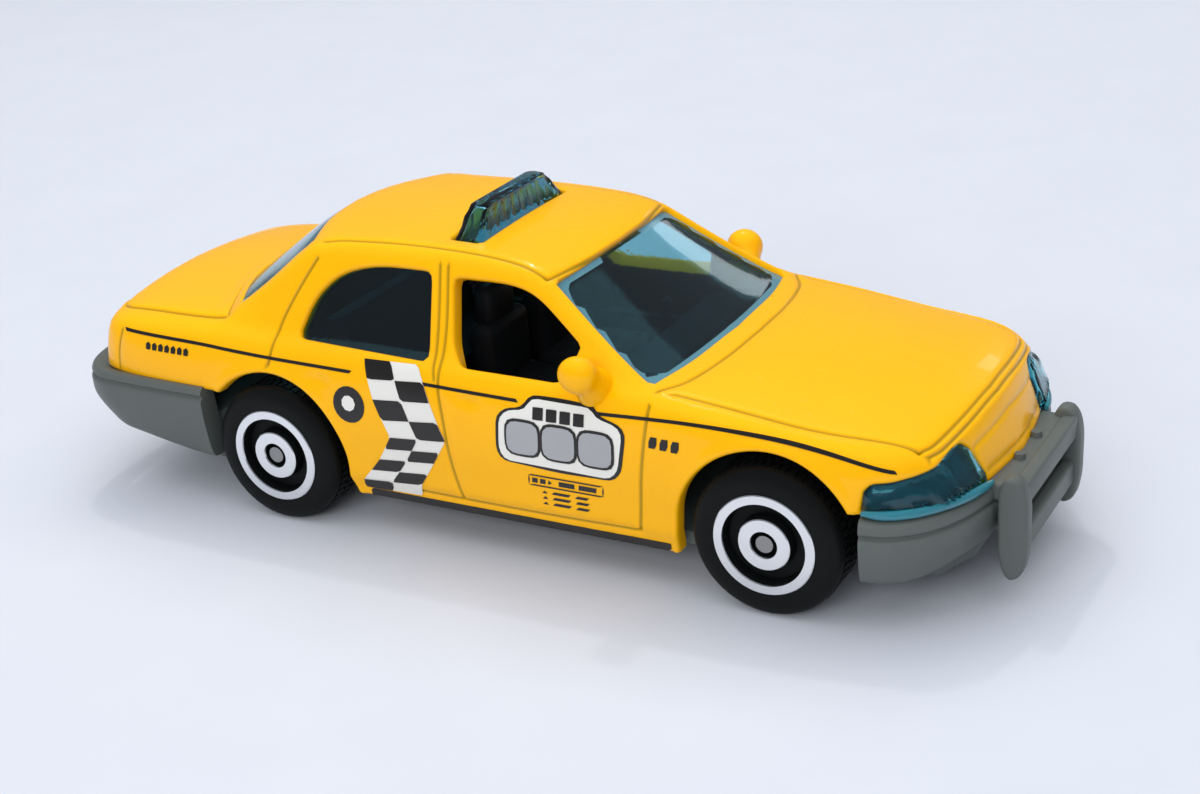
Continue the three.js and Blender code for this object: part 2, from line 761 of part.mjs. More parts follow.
const STEERING_RADIUS = 1.7;
const STEERING_RIM = 0.35;
const STEERING_RAKE = THREE.MathUtils.degToRad(-62);
const steering = solid(
  new THREE.LatheGeometry(
    [
      [0, -0.35],
      [0.55, -0.35],
      [STEERING_RADIUS - STEERING_RIM, -STEERING_RIM / 2],
      [STEERING_RADIUS, -STEERING_RIM],
      [STEERING_RADIUS + STEERING_RIM, 0],
      [STEERING_RADIUS, STEERING_RIM],
      [0.55, 0.2],
      [0, 0.2],
    ].map(([r, y]) => new THREE.Vector2(r, y)),
    20,
  )
    .rotateZ(STEERING_RAKE)
    .translate(
      DASH_BACK - 1.6,
      (SEAT_WIDTH + SEAT_GAP) / 2,
      DASH_TOP - 1.3,
    ),
);
piece("steering_wheel", steering, BLACK_PLASTIC);

// ---- Axles and wheels ---------------------------------------------------------------------------------

// A profile of [radius, distance inwards from the tyre's outer face], turned about Y.
function turned(profile, x, side) {
  const points = profile.map(
    ([r, inwards]) => new THREE.Vector2(r, side * (TYRE_FACE_Y - inwards)),
  );
  const half = Math.PI / FACETS; // a flat of the round rests on the ground
  return solid(
    new THREE.LatheGeometry(points, FACETS, half).translate(x, 0, AXLE_Z),
  );
}

const BORE = AXLE_RADIUS + AXLE_PLAY;
const SHOULDER = 0.35; // chamfer of the tread
const FACE_RIM = 0.3;
const TREAD = TYRE_RADIUS / Math.cos(Math.PI / FACETS);
const wheelProfile = [
  [BORE, CHANNEL_DEPTH],
  [RING_INNER[0] - 0.1, CHANNEL_DEPTH],
  [RING_INNER[0] - 0.1, 0.15],
  [RING_INNER[1] + 0.1, 0.15],
  [RING_INNER[1] + 0.1, CHANNEL_DEPTH],
  [RING_OUTER[0] - 0.1, CHANNEL_DEPTH],
  [RING_OUTER[0] - 0.1, 0.0],
  [RING_OUTER[1] + 0.35, 0.0],
  [RING_OUTER[1] + 0.55, FACE_RIM],
  [TREAD - SHOULDER, 0.1],
  [TREAD, SHOULDER + 0.1],
  [TREAD, TYRE_WIDTH - SHOULDER],
  [TREAD - SHOULDER, TYRE_WIDTH],
  [BORE, TYRE_WIDTH],
];
const closed = (profile) => [...profile, profile[0]];
const ring = ([r0, r1], outerFace) =>
  closed([
    [r0, outerFace - CLEARANCE],
    [r0, outerFace - CLEARANCE - RING_THICKNESS],
    [r1, outerFace - CLEARANCE - RING_THICKNESS],
    [r1, outerFace - CLEARANCE],
  ]);

for (const [end, x] of [["front", FRONT_AXLE_X], ["rear", REAR_AXLE_X]]) {
  const reach = TYRE_FACE_Y - CHANNEL_DEPTH + 2 * AXLE_PLAY;
  piece(
    `${end}_axle`,
    join(
      rodY(AXLE_RADIUS, -reach - 0.1, reach + 0.1, x, AXLE_Z),
      rodY(NAIL_HEAD_RADIUS, reach, reach + NAIL_HEAD_LENGTH, x, AXLE_Z),
      rodY(NAIL_HEAD_RADIUS, -reach - NAIL_HEAD_LENGTH, -reach, x, AXLE_Z),
    ),
    STEEL,
  );
  for (const [side, word] of [[1, "left"], [-1, "right"]]) {
    piece(`${end}_${word}_wheel`, turned(closed(wheelProfile), x, side), TYRE);
    piece(`${end}_${word}_outer_ring`, turned(ring(RING_OUTER, 0), x, side), FOIL);
    piece(
      `${end}_${word}_inner_ring`,
      turned(ring(RING_INNER, 0.15), x, side),
      FOIL,
    );
  }
}

export default car;
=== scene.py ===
# %% [markdown]
# # A diecast toy cab, modelled round its CAD frame
# The toy is a zinc casting under thick yellow enamel, with tinted glazing, grey plastic
# bumpers, a black interior, printed markings, and four wheels on two nail axles. The CAD
# frame settles every size. This lesson makes the fine surfaces that a frame has no need of.

# %% Load the frame
import math

import bmesh
import bpy
import numpy as np
from mathutils import Matrix, Vector, kdtree
from mathutils.geometry import delaunay_2d_cdt


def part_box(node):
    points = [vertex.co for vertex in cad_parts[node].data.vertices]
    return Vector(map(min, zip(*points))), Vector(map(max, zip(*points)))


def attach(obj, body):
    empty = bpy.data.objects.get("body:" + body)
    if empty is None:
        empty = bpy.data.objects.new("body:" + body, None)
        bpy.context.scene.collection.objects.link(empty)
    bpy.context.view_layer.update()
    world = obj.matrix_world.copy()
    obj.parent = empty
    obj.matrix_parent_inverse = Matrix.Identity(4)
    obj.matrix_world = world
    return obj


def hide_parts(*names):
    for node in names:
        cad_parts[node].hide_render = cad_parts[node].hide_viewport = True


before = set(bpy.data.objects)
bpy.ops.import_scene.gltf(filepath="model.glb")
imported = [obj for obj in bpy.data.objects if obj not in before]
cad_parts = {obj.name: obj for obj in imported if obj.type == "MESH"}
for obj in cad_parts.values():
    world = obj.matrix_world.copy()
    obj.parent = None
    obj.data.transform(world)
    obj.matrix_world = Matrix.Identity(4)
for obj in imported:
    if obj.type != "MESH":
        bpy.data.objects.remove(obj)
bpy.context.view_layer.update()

MM = 0.001
print("CAD nodes:", len(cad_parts))

# %% [markdown]
# ## Camera, floor and light
# A small toy is looked at from close by, a little above its bonnet. The camera stands at one
# point and is turned by three angles: round the car, down, and a slight tilt of the frame.
# A wide panel overhead and a pale world leave hardly any shadow. They don't show in gloss,
# so the enamel keeps its deep colour, and two small lamps put the glints on it instead.

# %% Camera, floor and lights
CAMERA_PLACE = (72.66, -119.02, 68.04)
CAMERA_AZIMUTH = math.radians(30.35)
CAMERA_ELEVATION = math.radians(23.64)
CAMERA_ROLL = math.radians(-4.57)
CAMERA_LENS = 58.25
SENSOR_WIDTH = 36.0


def add_camera():
    data = bpy.data.cameras.new("camera")
    data.lens = CAMERA_LENS
    data.sensor_width = SENSOR_WIDTH
    data.clip_start = 0.005
    data.clip_end = 5.0
    camera = bpy.data.objects.new("camera", data)
    bpy.context.scene.collection.objects.link(camera)
    a, e = CAMERA_AZIMUTH, CAMERA_ELEVATION
    back = Vector((math.sin(a) * math.cos(e), -math.cos(a) * math.cos(e), math.sin(e)))
    right = Vector((0, 0, 1)).cross(back).normalized()
    up = back.cross(right)
    c, s = math.cos(CAMERA_ROLL), math.sin(CAMERA_ROLL)
    turned_right = right * c + up * s
    turned_up = up * c - right * s
    frame_matrix = Matrix((turned_right, turned_up, back)).transposed().to_4x4()
    camera.matrix_world = Matrix.Translation(Vector(CAMERA_PLACE) * MM) @ frame_matrix
    bpy.context.scene.camera = camera


def add_area_light(name, place, aim, size, watts, colour, in_gloss):
    data = bpy.data.lights.new(name, "AREA")
    data.shape = "RECTANGLE"
    data.size, data.size_y = size[0] * MM, size[1] * MM
    data.energy = watts
    data.color = colour
    light = bpy.data.objects.new(name, data)
    bpy.context.scene.collection.objects.link(light)
    light.visible_glossy = in_gloss
    light.location = Vector(place) * MM
    aim_line = (Vector(aim) - Vector(place)) * MM
    light.rotation_euler = aim_line.to_track_quat("-Z", "Y").to_euler()


# Name, place, aim, size, watts, colour, and whether the light shows in gloss.
WARM, COOL = (1.0, 0.98, 0.95), (0.92, 0.97, 1.0)
LIGHTS = [
    ("window_light", (-90, 190, 380), (0, 0, 5), (260, 200), 0.35, WARM, False),
    ("lamp_glint", (-120, 170, 360), (0, 0, 5), (16, 16), 0.16, WARM, True),
    ("sky_panel", (0, 0, 700), (0, 1, 0), (1500, 1500), 9.3, (0.93, 0.96, 1.0), False),
    ("glass_glint", (20, 282, 136), (9, 4, 19), (50, 26), 0.008, COOL, True),
    ("side_fill", (60, -380, 210), (0, 0, 8), (320, 120), 0.85, (0.95, 0.97, 1.0), False),
]
WORLD_COLOUR, WORLD_STRENGTH = (0.84, 0.89, 1.0, 1), 0.26

add_camera()
for light in LIGHTS:
    add_area_light(*light)
world = bpy.data.worlds.new("studio")
bpy.context.scene.world = world
world.use_nodes = True
sky = world.node_tree.nodes["Background"]
sky.inputs["Color"].default_value = WORLD_COLOUR
sky.inputs["Strength"].default_value = WORLD_STRENGTH
bpy.context.scene.view_settings.view_transform = "Standard"
print("lights:", ", ".join(light[0] for light in LIGHTS))

# %% [markdown]
# ## Finishes
# Enamel, moulded plastic and tyre rubber all show the same small unevenness: a faint
# ripple in the surface and a slight change of gloss. One shader group makes both from
# noise, and each finish sets its own scale and strength. The group puts out values only,
# so that the shader itself stays in the material.

# %% The shared ripple group and a helper that makes a finish
def make_ripple_group():
    group = bpy.data.node_groups.new("surface_ripple", "ShaderNodeTree")
    face = group.interface
    for name, value in (("Scale", 500.0), ("Gloss", 0.3), ("Spread", 0.05)):
        socket = face.new_socket(name, in_out="INPUT", socket_type="NodeSocketFloat")
        socket.default_value = value
    for name in ("Height", "Roughness", "Shade"):
        face.new_socket(name, in_out="OUTPUT", socket_type="NodeSocketFloat")
    nodes, links = group.nodes, group.links
    start, end = nodes.new("NodeGroupInput"), nodes.new("NodeGroupOutput")
    place = nodes.new("ShaderNodeTexCoord")
    fine, broad = nodes.new("ShaderNodeTexNoise"), nodes.new("ShaderNodeTexNoise")
    fine.inputs["Detail"].default_value = 3.0
    broad.inputs["Scale"].default_value = 90.0
    links.new(place.outputs["Object"], fine.inputs["Vector"])
    links.new(place.outputs["Object"], broad.inputs["Vector"])
    links.new(start.outputs["Scale"], fine.inputs["Scale"])
    spread = nodes.new("ShaderNodeMath")
    spread.operation = "MULTIPLY_ADD"
    links.new(fine.outputs["Fac"], spread.inputs[0])
    links.new(start.outputs["Spread"], spread.inputs[1])
    links.new(start.outputs["Gloss"], spread.inputs[2])
    links.new(fine.outputs["Fac"], end.inputs["Height"])
    links.new(spread.outputs[0], end.inputs["Roughness"])
    links.new(broad.outputs["Fac"], end.inputs["Shade"])
    return group


RIPPLE = make_ripple_group()
BUMP_DISTANCE = 0.0002
print("group:", RIPPLE.name)


def finish(name, dark, light, gloss, spread=0.06, scale=600.0, bump=0.02, **plain):
    """A material whose colour drifts between two tones, with the shared ripple."""
    material = bpy.data.materials.new(name)
    material.use_nodes = True
    nodes, links = material.node_tree.nodes, material.node_tree.links
    shader = nodes["Principled BSDF"]
    ripple = nodes.new("ShaderNodeGroup")
    ripple.node_tree = RIPPLE
    ripple.inputs["Scale"].default_value = scale
    ripple.inputs["Gloss"].default_value = gloss
    ripple.inputs["Spread"].default_value = spread
    tone = nodes.new("ShaderNodeMix")
    tone.data_type = "RGBA"
    tone.name = "tone"
    tone.inputs["A"].default_value = (*dark, 1)
    tone.inputs["B"].default_value = (*light, 1)
    links.new(ripple.outputs["Shade"], tone.inputs["Factor"])
    links.new(tone.outputs["Result"], shader.inputs["Base Color"])
    links.new(ripple.outputs["Roughness"], shader.inputs["Roughness"])
    relief = nodes.new("ShaderNodeBump")
    relief.inputs["Strength"].default_value = bump
    relief.inputs["Distance"].default_value = BUMP_DISTANCE
    links.new(ripple.outputs["Height"], relief.inputs["Height"])
    links.new(relief.outputs["Normal"], shader.inputs["Normal"])
    for socket, value in plain.items():
        shader.inputs[socket.replace("_", " ")].default_value = value
    return material


# %% [markdown]
# Enamel pools in a casting's engraved lines, where it looks olive and dull, and shade falls
# in them. The body's mesh carries an attribute called `line` that says how deep in a line
# each point is, and the enamel's colour follows it: partly the pooled enamel's own colour,
# partly painted shade in the groove.

# %% The finishes
def add_line_pool_and_shade(material, colour):
    """Turns the finish towards the colour of pooled enamel and painted groove shade where the
    mesh's line attribute is high.
    """
    nodes, links = material.node_tree.nodes, material.node_tree.links
    shader, tone = nodes["Principled BSDF"], nodes["tone"]
    line = nodes.new("ShaderNodeAttribute")
    line.attribute_name = "line"
    pool_and_shade = nodes.new("ShaderNodeMix")
    pool_and_shade.data_type = "RGBA"
    pool_and_shade.inputs["B"].default_value = (*colour, 1)
    links.new(line.outputs["Fac"], pool_and_shade.inputs["Factor"])
    links.new(tone.outputs["Result"], pool_and_shade.inputs["A"])
    links.new(pool_and_shade.outputs["Result"], shader.inputs["Base Color"])


def make_glazing(name, colour, roughness):
    """Clear tinted plastic."""
    return finish(name, colour, tuple(c * 1.25 for c in colour), roughness, 0.02, 700, 0.02,
                  Transmission_Weight=1.0, IOR=1.49)


# Name, two tones, gloss and its spread, scale and strength of the ripple, plain sockets.
ENAMEL = finish("yellow_enamel", (0.93, 0.43, 0.0), (0.99, 0.48, 0.0), 0.24, 0.05, 1400, 0.012,
                Coat_Weight=0.3, Coat_Roughness=0.03, IOR=1.4, Specular_IOR_Level=0.2)
# The lines' olive colour is partly pooled enamel and partly painted shade in the grooves.
add_line_pool_and_shade(ENAMEL, (0.30, 0.20, 0.006))
# Near-black inner wall: painted shade inside the shell, not the colour of bare zinc.
INSIDE_SHADE = finish("inside_of_casting_painted_shade", (0.03, 0.025, 0.012), (0.05, 0.04, 0.015), 0.5)
GREY = finish("grey_plastic", (0.085, 0.096, 0.088), (0.115, 0.128, 0.118), 0.38, 0.1, 900, 0.05,
              Specular_IOR_Level=0.35)
BLACK = finish("black_plastic", (0.006, 0.006, 0.007), (0.012, 0.012, 0.013), 0.42, 0.1, 900,
               0.05, Specular_IOR_Level=0.2)
RUBBER = finish("tyre_plastic", (0.003, 0.0035, 0.0035), (0.005, 0.006, 0.006), 0.45, 0.12,
                1100, 0.06, Specular_IOR_Level=0.14)
FOIL = finish("chrome_foil", (0.80, 0.81, 0.82), (0.90, 0.91, 0.92), 0.14, 0.12, 1700, 0.03,
              Metallic=1.0)
STEEL = finish("steel_nail", (0.30, 0.30, 0.30), (0.42, 0.41, 0.40), 0.35, 0.15, 1500, 0.08,
               Metallic=1.0)
BLACK_INK = finish("black_ink", (0.008, 0.007, 0.006), (0.015, 0.012, 0.010), 0.28, 0.08,
                   2500, 0.02)
WHITE_INK = finish("white_ink", (0.70, 0.68, 0.62), (0.80, 0.78, 0.72), 0.30, 0.08, 2500, 0.03)
GREY_INK = finish("grey_ink", (0.30, 0.30, 0.31), (0.38, 0.38, 0.39), 0.30, 0.08, 2500, 0.03)
PAPER = finish("paper_floor", (0.57, 0.59, 0.64), (0.61, 0.63, 0.675), 0.7, 0.05, 300, 0.05)
GLAZING = make_glazing("teal_glazing", (0.16, 0.43, 0.52), 0.03)
# The rim's paler, less clear finish is a painted highlight on the same clear plastic.
GLAZING_RIM_HIGHLIGHT = finish("teal_rim_painted_highlight", (0.10, 0.28, 0.36), (0.16, 0.38, 0.46), 0.1, 0.05, 900, 0.02,
                     Transmission_Weight=0.3)
LAMP_CLEAR = make_glazing("teal_lamp", (0.14, 0.55, 0.64), 0.04)
# The lip's paler, less clear finish is a painted highlight along the lamp's foot.
LAMP_LIP_HIGHLIGHT = finish("lamp_lip_painted_highlight", (0.02, 0.20, 0.26), (0.05, 0.32, 0.40), 0.08, 0.05, 1800, 0.02,
                  Transmission_Weight=0.35, Coat_Weight=0.5)
LAMP_BACK = finish("lamp_back", (0.01, 0.05, 0.06), (0.03, 0.20, 0.22), 0.22, 0.2, 1800, 0.35)
print("finishes:", len(bpy.data.materials))

# %% [markdown]
# ## Helpers that turn a bmesh into a piece
# Every piece is built in millimetres, scaled once to metres, and rides on a body of the
# frame. Its object stays at the origin, with its place in its mesh.

# %% Making pieces
def add_piece(name, bm, materials, body="root", stands_for=(), smooth=40):
    """Puts a bmesh drawn in millimetres into the scene as a piece of the toy."""
    bmesh.ops.scale(bm, vec=(MM, MM, MM), verts=bm.verts)
    mesh = bpy.data.meshes.new(name)
    bm.to_mesh(mesh)
    bm.free()
    for material in materials:
        mesh.materials.append(material)
    mesh.shade_smooth()
    mesh.set_sharp_from_angle(angle=math.radians(smooth))
    piece = bpy.data.objects.new(name, mesh)
    bpy.context.scene.collection.objects.link(piece)
    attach(piece, body)
    if stands_for:
        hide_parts(*stands_for)
    print(f"{name}: {len(mesh.polygons)} faces")
    return piece


def to_side(bm, side):
    """Leaves a left-hand bmesh as it is for side 1, and turns it right-handed for side -1."""
    if side < 0:
        bmesh.ops.scale(bm, vec=(1, -1, 1), verts=bm.verts)
        bmesh.ops.reverse_faces(bm, faces=bm.faces)


SIDES = ((1, "left"), (-1, "right"))


def add_box(bm, low, high, round_by=0.0, segments=3):
    """A box between two corners, its edges rounded by a bevel."""
    made = bmesh.ops.create_cube(bm, size=1.0)["verts"]
    size = [h - l for l, h in zip(low, high)]
    middle = [(l + h) / 2 for l, h in zip(low, high)]
    bmesh.ops.scale(bm, vec=size, verts=made)
    bmesh.ops.translate(bm, vec=middle, verts=made)
    if round_by:
        edges = list({e for v in made for e in v.link_edges})
        bmesh.ops.bevel(bm, geom=edges, offset=round_by, segments=segments, profile=0.5,
                        affect="EDGES", material=-1)


def mirror_all(bm):
    """Adds the mirror image across the car's middle plane and sews the seam."""
    before = set(bm.faces)
    bmesh.ops.mirror(bm, geom=bm.verts[:] + bm.edges[:] + bm.faces[:], axis="Y", merge_dist=1e-4)
    bmesh.ops.reverse_faces(bm, faces=[face for face in bm.faces if face not in before])


print("helpers: add_piece, to_side, add_box, mirror_all")

# %% [markdown]
# ## The casting's skin as one smooth patch
# The outside of the body is one sheet: boot, rear glass, roof, windscreen and bonnet along
# the middle, and gutter, waist, shoulder, door and sill down the side. A cubic B-spline
# patch gives it the unbroken curves that gloss paint asks for. Its control net has one
# section for each place where the car changes shape, and each section is a list of the
# same few corners. A section is easy to read and to change, which a mesh of loose
# corners isn't.

# %% Sections of the control net
DECK_SHARES = (0.0, 0.35, 0.65, 0.88, 1.0)
UPPER_SHARES = (0.2, 0.5, 0.8)
SIDE_SHARES = (0.28, 0.48, 0.68, 0.80, 0.875, 1.0)
SIDE_INSETS = (0.0, 0.10, 0.28, 0.22, 0.62, 0.70)
SILL_FOOT = 3.0


def section(x, bow, centre_z, edge, waist, shoulder, half):
    """Control points of half a section, from the middle out over the edge and down."""
    points = [
        (x - bow * s * s, edge[0] * s, centre_z + (edge[1] - centre_z) * s * s)
        for s in DECK_SHARES
    ]
    side = x - bow
    for s in UPPER_SHARES:
        points.append((side, edge[0] + (waist[0] - edge[0]) * s,
                       edge[1] + (waist[1] - edge[1]) * s))
    points.append((side, *waist))
    points.append((side, waist[0] + (shoulder[0] - waist[0]) * 0.6,
                   waist[1] + (shoulder[1] - waist[1]) * 0.3))
    points.append((side, *shoulder))
    low = shoulder[1] - 1.5
    points.append((side, shoulder[0] + (half - shoulder[0]) * 0.6, low))
    for s, inset in zip(SIDE_SHARES, SIDE_INSETS):
        points.append((side, half - inset, low + (SILL_FOOT - low) * s))
    return points


def closing_ring(base, share, pole_z, face):
    """The section drawn towards a pole, on the surface of a nose or a tail."""
    ring = []
    for _, y, z in base:
        y, z = y * share, pole_z + (z - pole_z) * share
        ring.append((face(y, z), y, z))
    return ring


TAIL_POLE_Z, NOSE_POLE_Z = 10.0, 8.7


def tail_face(y, z):
    return -37.7 + 0.011 * y * y + 0.28 * max(z - TAIL_POLE_Z, 0)


def nose_face(y, z):
    return 36.75 - 0.014 * y * y - 0.42 * max(z - NOSE_POLE_Z, 0)


# Place along the car, bow, height in the middle, then (Y, Z) of the roof's or deck's edge, of
# the waist and of the shoulder, and the half width of the door.
SECTIONS = [
    section(-35.6, 0.2, 15.3, (9.4, 14.5), (10.7, 14.1), (11.9, 13.1), 12.6),
    section(-33.4, 0.2, 15.45, (10.2, 14.85), (11.5, 14.5), (12.7, 13.5), 13.3),
    section(-30.0, 0.3, 15.6, (10.6, 15.1), (11.8, 14.7), (13.0, 13.6), 13.75),
    section(-28.2, -3.0, 15.7, (10.7, 15.25), (11.9, 14.8), (13.05, 13.6), 13.85),
    section(-27.3, -3.7, 15.8, (10.65, 15.4), (11.95, 14.9), (13.1, 13.6), 13.9),
    section(-26.3, -3.6, 16.5, (10.7, 16.15), (12.0, 15.0), (13.15, 13.7), 13.9),
    section(-22.4, -3.2, 19.25, (10.25, 18.4), (12.05, 15.0), (13.2, 13.7), 13.95),
    section(-18.9, -2.9, 21.75, (9.65, 21.1), (12.1, 15.0), (13.2, 13.7), 13.95),
    section(-17.2, -2.7, 22.05, (9.2, 21.75), (12.1, 15.0), (13.2, 13.7), 13.95),
    section(-14.2, -1.8, 22.1, (8.8, 21.8), (12.1, 15.0), (13.2, 13.7), 13.95),
    section(-9.5, -0.6, 22.25, (8.7, 21.95), (12.1, 15.0), (13.2, 13.7), 13.95),
    section(-4.5, 0.0, 22.25, (8.7, 21.95), (12.1, 15.0), (13.2, 13.7), 13.95),
    section(0.5, 0.2, 22.1, (8.8, 21.8), (12.1, 15.0), (13.2, 13.7), 13.95),
    section(3.8, 0.6, 21.75, (9.0, 21.4), (12.1, 14.95), (13.2, 13.7), 13.95),
    section(5.7, 0.9, 21.2, (9.2, 20.85), (12.1, 14.95), (13.2, 13.7), 13.95),
    section(7.1, 1.0, 20.3, (9.5, 19.95), (12.15, 14.95), (13.2, 13.7), 13.95),
    section(11.0, 1.1, 17.65, (10.6, 17.35), (12.25, 14.9), (13.25, 13.65), 13.95),
    section(14.5, 1.1, 15.45, (11.8, 15.15), (12.45, 14.8), (13.3, 13.6), 13.95),
    section(15.7, 1.1, 15.1, (12.0, 14.85), (12.6, 14.6), (13.35, 13.55), 13.95),
    section(17.2, 1.1, 15.2, (12.05, 14.7), (12.6, 14.45), (13.4, 13.4), 13.95),
    section(21.0, 0.8, 15.0, (12.05, 14.25), (12.6, 14.0), (13.5, 12.95), 14.0),
    section(26.0, 0.6, 14.5, (11.9, 13.5), (12.5, 13.2), (13.45, 12.2), 13.95),
    section(30.0, 0.7, 14.05, (11.75, 13.25), (12.35, 12.9), (13.2, 11.8), 13.75),
    section(33.0, 1.1, 13.6, (11.25, 12.95), (11.85, 12.55), (12.6, 11.4), 13.05),
    section(34.9, 1.7, 13.0, (10.2, 12.5), (10.85, 12.1), (11.55, 11.0), 12.0),
]
CONTROL_NET = np.array(
    [closing_ring(SECTIONS[0], s, TAIL_POLE_Z, tail_face) for s in (0.02, 0.4, 0.75, 0.92)]
    + SECTIONS
    + [closing_ring(SECTIONS[-1], s, NOSE_POLE_Z, nose_face) for s in (0.93, 0.78, 0.4, 0.02)]
)
print("control net:", CONTROL_NET.shape)


# %% [markdown]
# The patch is evaluated by its own short formula, because pieces are not only drawn on it
# but also found on it: a window's outline is known in millimetres from the side, and the
# patch says which of its points lie there. `seek` does that by a coarse look and a few
# Newton steps.

# %% The patch: places, slopes, normals and search
def spline_weights(t):
    return np.stack([(1 - t) ** 3, 3 * t**3 - 6 * t**2 + 4,
                     -3 * t**3 + 3 * t**2 + 3 * t + 1, t**3], -1) / 6


def spline_slopes(t):
    return np.stack([-((1 - t) ** 2), 3 * t**2 - 4 * t, -3 * t**2 + 2 * t + 1, t**2], -1) / 2


class Patch:
    FINE = 8  # looks per span
    NEWTON_STEPS = 8
    WAIST_COLUMN = 10  # the column that sets the flat pattern's length, with the middle

    def __init__(self, net):
        flipped = net[:, 1:2] * np.array([1, -1, 1])
        beyond = 2 * net[:, -1:] - net[:, -2:-1]
        net = np.concatenate([flipped, net, beyond], axis=1)
        net = np.concatenate([2 * net[:1] - net[1:2], net, 2 * net[-1:] - net[-2:-1]], axis=0)
        self.net = net
        self.u_end, self.v_end = net.shape[0] - 3, net.shape[1] - 3
        self.u_fine = np.linspace(0, self.u_end, self.u_end * self.FINE + 1)
        self.v_fine = np.linspace(0, self.v_end, self.v_end * self.FINE + 1)
        uu, vv = np.meshgrid(self.u_fine, self.v_fine, indexing="ij")
        self.table = self.at(np.stack([uu, vv], -1).reshape(-1, 2)).reshape(*uu.shape, 3)
        steps = np.linalg.norm(np.diff(self.table, axis=1), axis=2)
        self.girth = np.concatenate([np.zeros((len(self.u_fine), 1)), steps.cumsum(1)], axis=1)
        along = np.linalg.norm(np.diff(self.table, axis=0), axis=2)
        mean = (along[:, 0] + along[:, self.WAIST_COLUMN * self.FINE]) / 2
        self.reach = np.concatenate([[0], mean.cumsum()])

    def _sum(self, uv, u_rule, v_rule):
        i = np.clip(uv[:, 0].astype(int), 0, self.u_end - 1)
        j = np.clip(uv[:, 1].astype(int), 0, self.v_end - 1)
        wu, wv = u_rule(uv[:, 0] - i), v_rule(uv[:, 1] - j)
        total = np.zeros((len(uv), 3))
        for a in range(4):
            for b in range(4):
                total += (wu[:, a] * wv[:, b])[:, None] * self.net[i + a, j + b]
        return total

    def at(self, uv):
        return self._sum(uv, spline_weights, spline_weights)

    def slopes(self, uv):
        return (self._sum(uv, spline_slopes, spline_weights),
                self._sum(uv, spline_weights, spline_slopes))

    def normal(self, uv):
        along, down = self.slopes(uv)
        cross = np.cross(along, down)
        return cross / np.maximum(np.linalg.norm(cross, axis=1), 1e-9)[:, None]

    def uv_step(self, uv, moves, weigh=(1, 1, 1)):
        """The steps in (u, v) that answer to small moves in space."""
        along, down = (slope * weigh for slope in self.slopes(uv))
        aa, ab, bb = (along**2).sum(1), (along * down).sum(1), (down**2).sum(1)
        am, bm = (along * moves).sum(1), (down * moves).sum(1)
        det = np.maximum(aa * bb - ab * ab, 1e-9)
        return np.stack([(bb * am - ab * bm) / det, (aa * bm - ab * am) / det], -1)

    def seek(self, points, weigh=(1, 1, 1), zone=None):
        """(u, v) of the patch nearest to points, counting only the weighed directions."""
        u0, u1, v0, v1 = zone or (0, self.u_end, 0, self.v_end)
        iu = np.flatnonzero((self.u_fine >= u0) & (self.u_fine <= u1))
        iv = np.flatnonzero((self.v_fine >= v0) & (self.v_fine <= v1))
        weigh = np.array(weigh, float)
        part = self.table[np.ix_(iu, iv)].reshape(-1, 3) * weigh
        points = np.asarray(points, float) * weigh
        best = np.array([((part - p) ** 2).sum(1).argmin() for p in points])
        uv = np.stack([self.u_fine[iu[best // len(iv)]], self.v_fine[iv[best % len(iv)]]], -1)
        for _ in range(self.NEWTON_STEPS):
            step = self.uv_step(uv, points - self.at(uv) * weigh, weigh)
            uv = uv + np.clip(step, -0.5, 0.5)
            uv[:, 0] = uv[:, 0].clip(u0, u1)
            uv[:, 1] = uv[:, 1].clip(v0, v1)
        return uv

    def flat(self, uv):
        """Flat-pattern millimetres: along the car and down from the middle line."""
        i = np.clip((uv[:, 0] * self.FINE).astype(int), 0, len(self.u_fine) - 2)
        j = np.clip((uv[:, 1] * self.FINE).astype(int), 0, len(self.v_fine) - 2)
        s, t = uv[:, 0] * self.FINE - i, uv[:, 1] * self.FINE - j
        g = self.girth
        down = ((1 - s) * (1 - t) * g[i, j] + s * (1 - t) * g[i + 1, j]
                + (1 - s) * t * g[i, j + 1] + s * t * g[i + 1, j + 1])
        return np.stack([np.interp(uv[:, 0], self.u_fine, self.reach), down], -1)

    def unflat(self, flat):
        u = np.interp(flat[:, 0], self.reach, self.u_fine)
        i = np.clip((u * self.FINE).astype(int), 0, len(self.u_fine) - 2)
        s = (u * self.FINE - i)[:, None]
        rows = self.girth[i] * (1 - s) + self.girth[i + 1] * s
        v = np.array([np.interp(d, row, self.v_fine) for d, row in zip(flat[:, 1], rows)])
        return np.stack([u, v], -1)


SKIN = Patch(CONTROL_NET)
print("skin patch:", SKIN.u_end, "by", SKIN.v_end, "spans")

# %% [markdown]
# ## Outlines
# A window or a panel line is drawn with the few corners that its shape needs. `rounded`
# turns the corners of a closed outline into arcs, and `flowing` runs a smooth curve
# through the points of an open one. Both walk in short equal steps, so that the cut in the
# sheet has even edges.

# %% Outline helpers
STEP = 0.4
NEARBY, FAR_AWAY = 1.6, 9.0


def spread(points, count):
    """Points in equal steps along a polyline, its two ends included."""
    lengths = np.concatenate([[0], np.linalg.norm(np.diff(points, axis=0), axis=1).cumsum()])
    places = np.linspace(0, lengths[-1], count)
    return np.stack([np.interp(places, lengths, column) for column in points.T], -1)


def walk(points, closed, step=STEP, count=None):
    """A polyline walked in equal steps, of one length or of one number."""
    points = np.asarray(points, float)
    if closed:
        points = np.vstack([points, points[:1]])
    if count is None:
        length = np.linalg.norm(np.diff(points, axis=0), axis=1).cumsum()[-1]
        count = max(2, round(length / step))
    out = spread(points, count + 1)
    return out[:-1] if closed else out


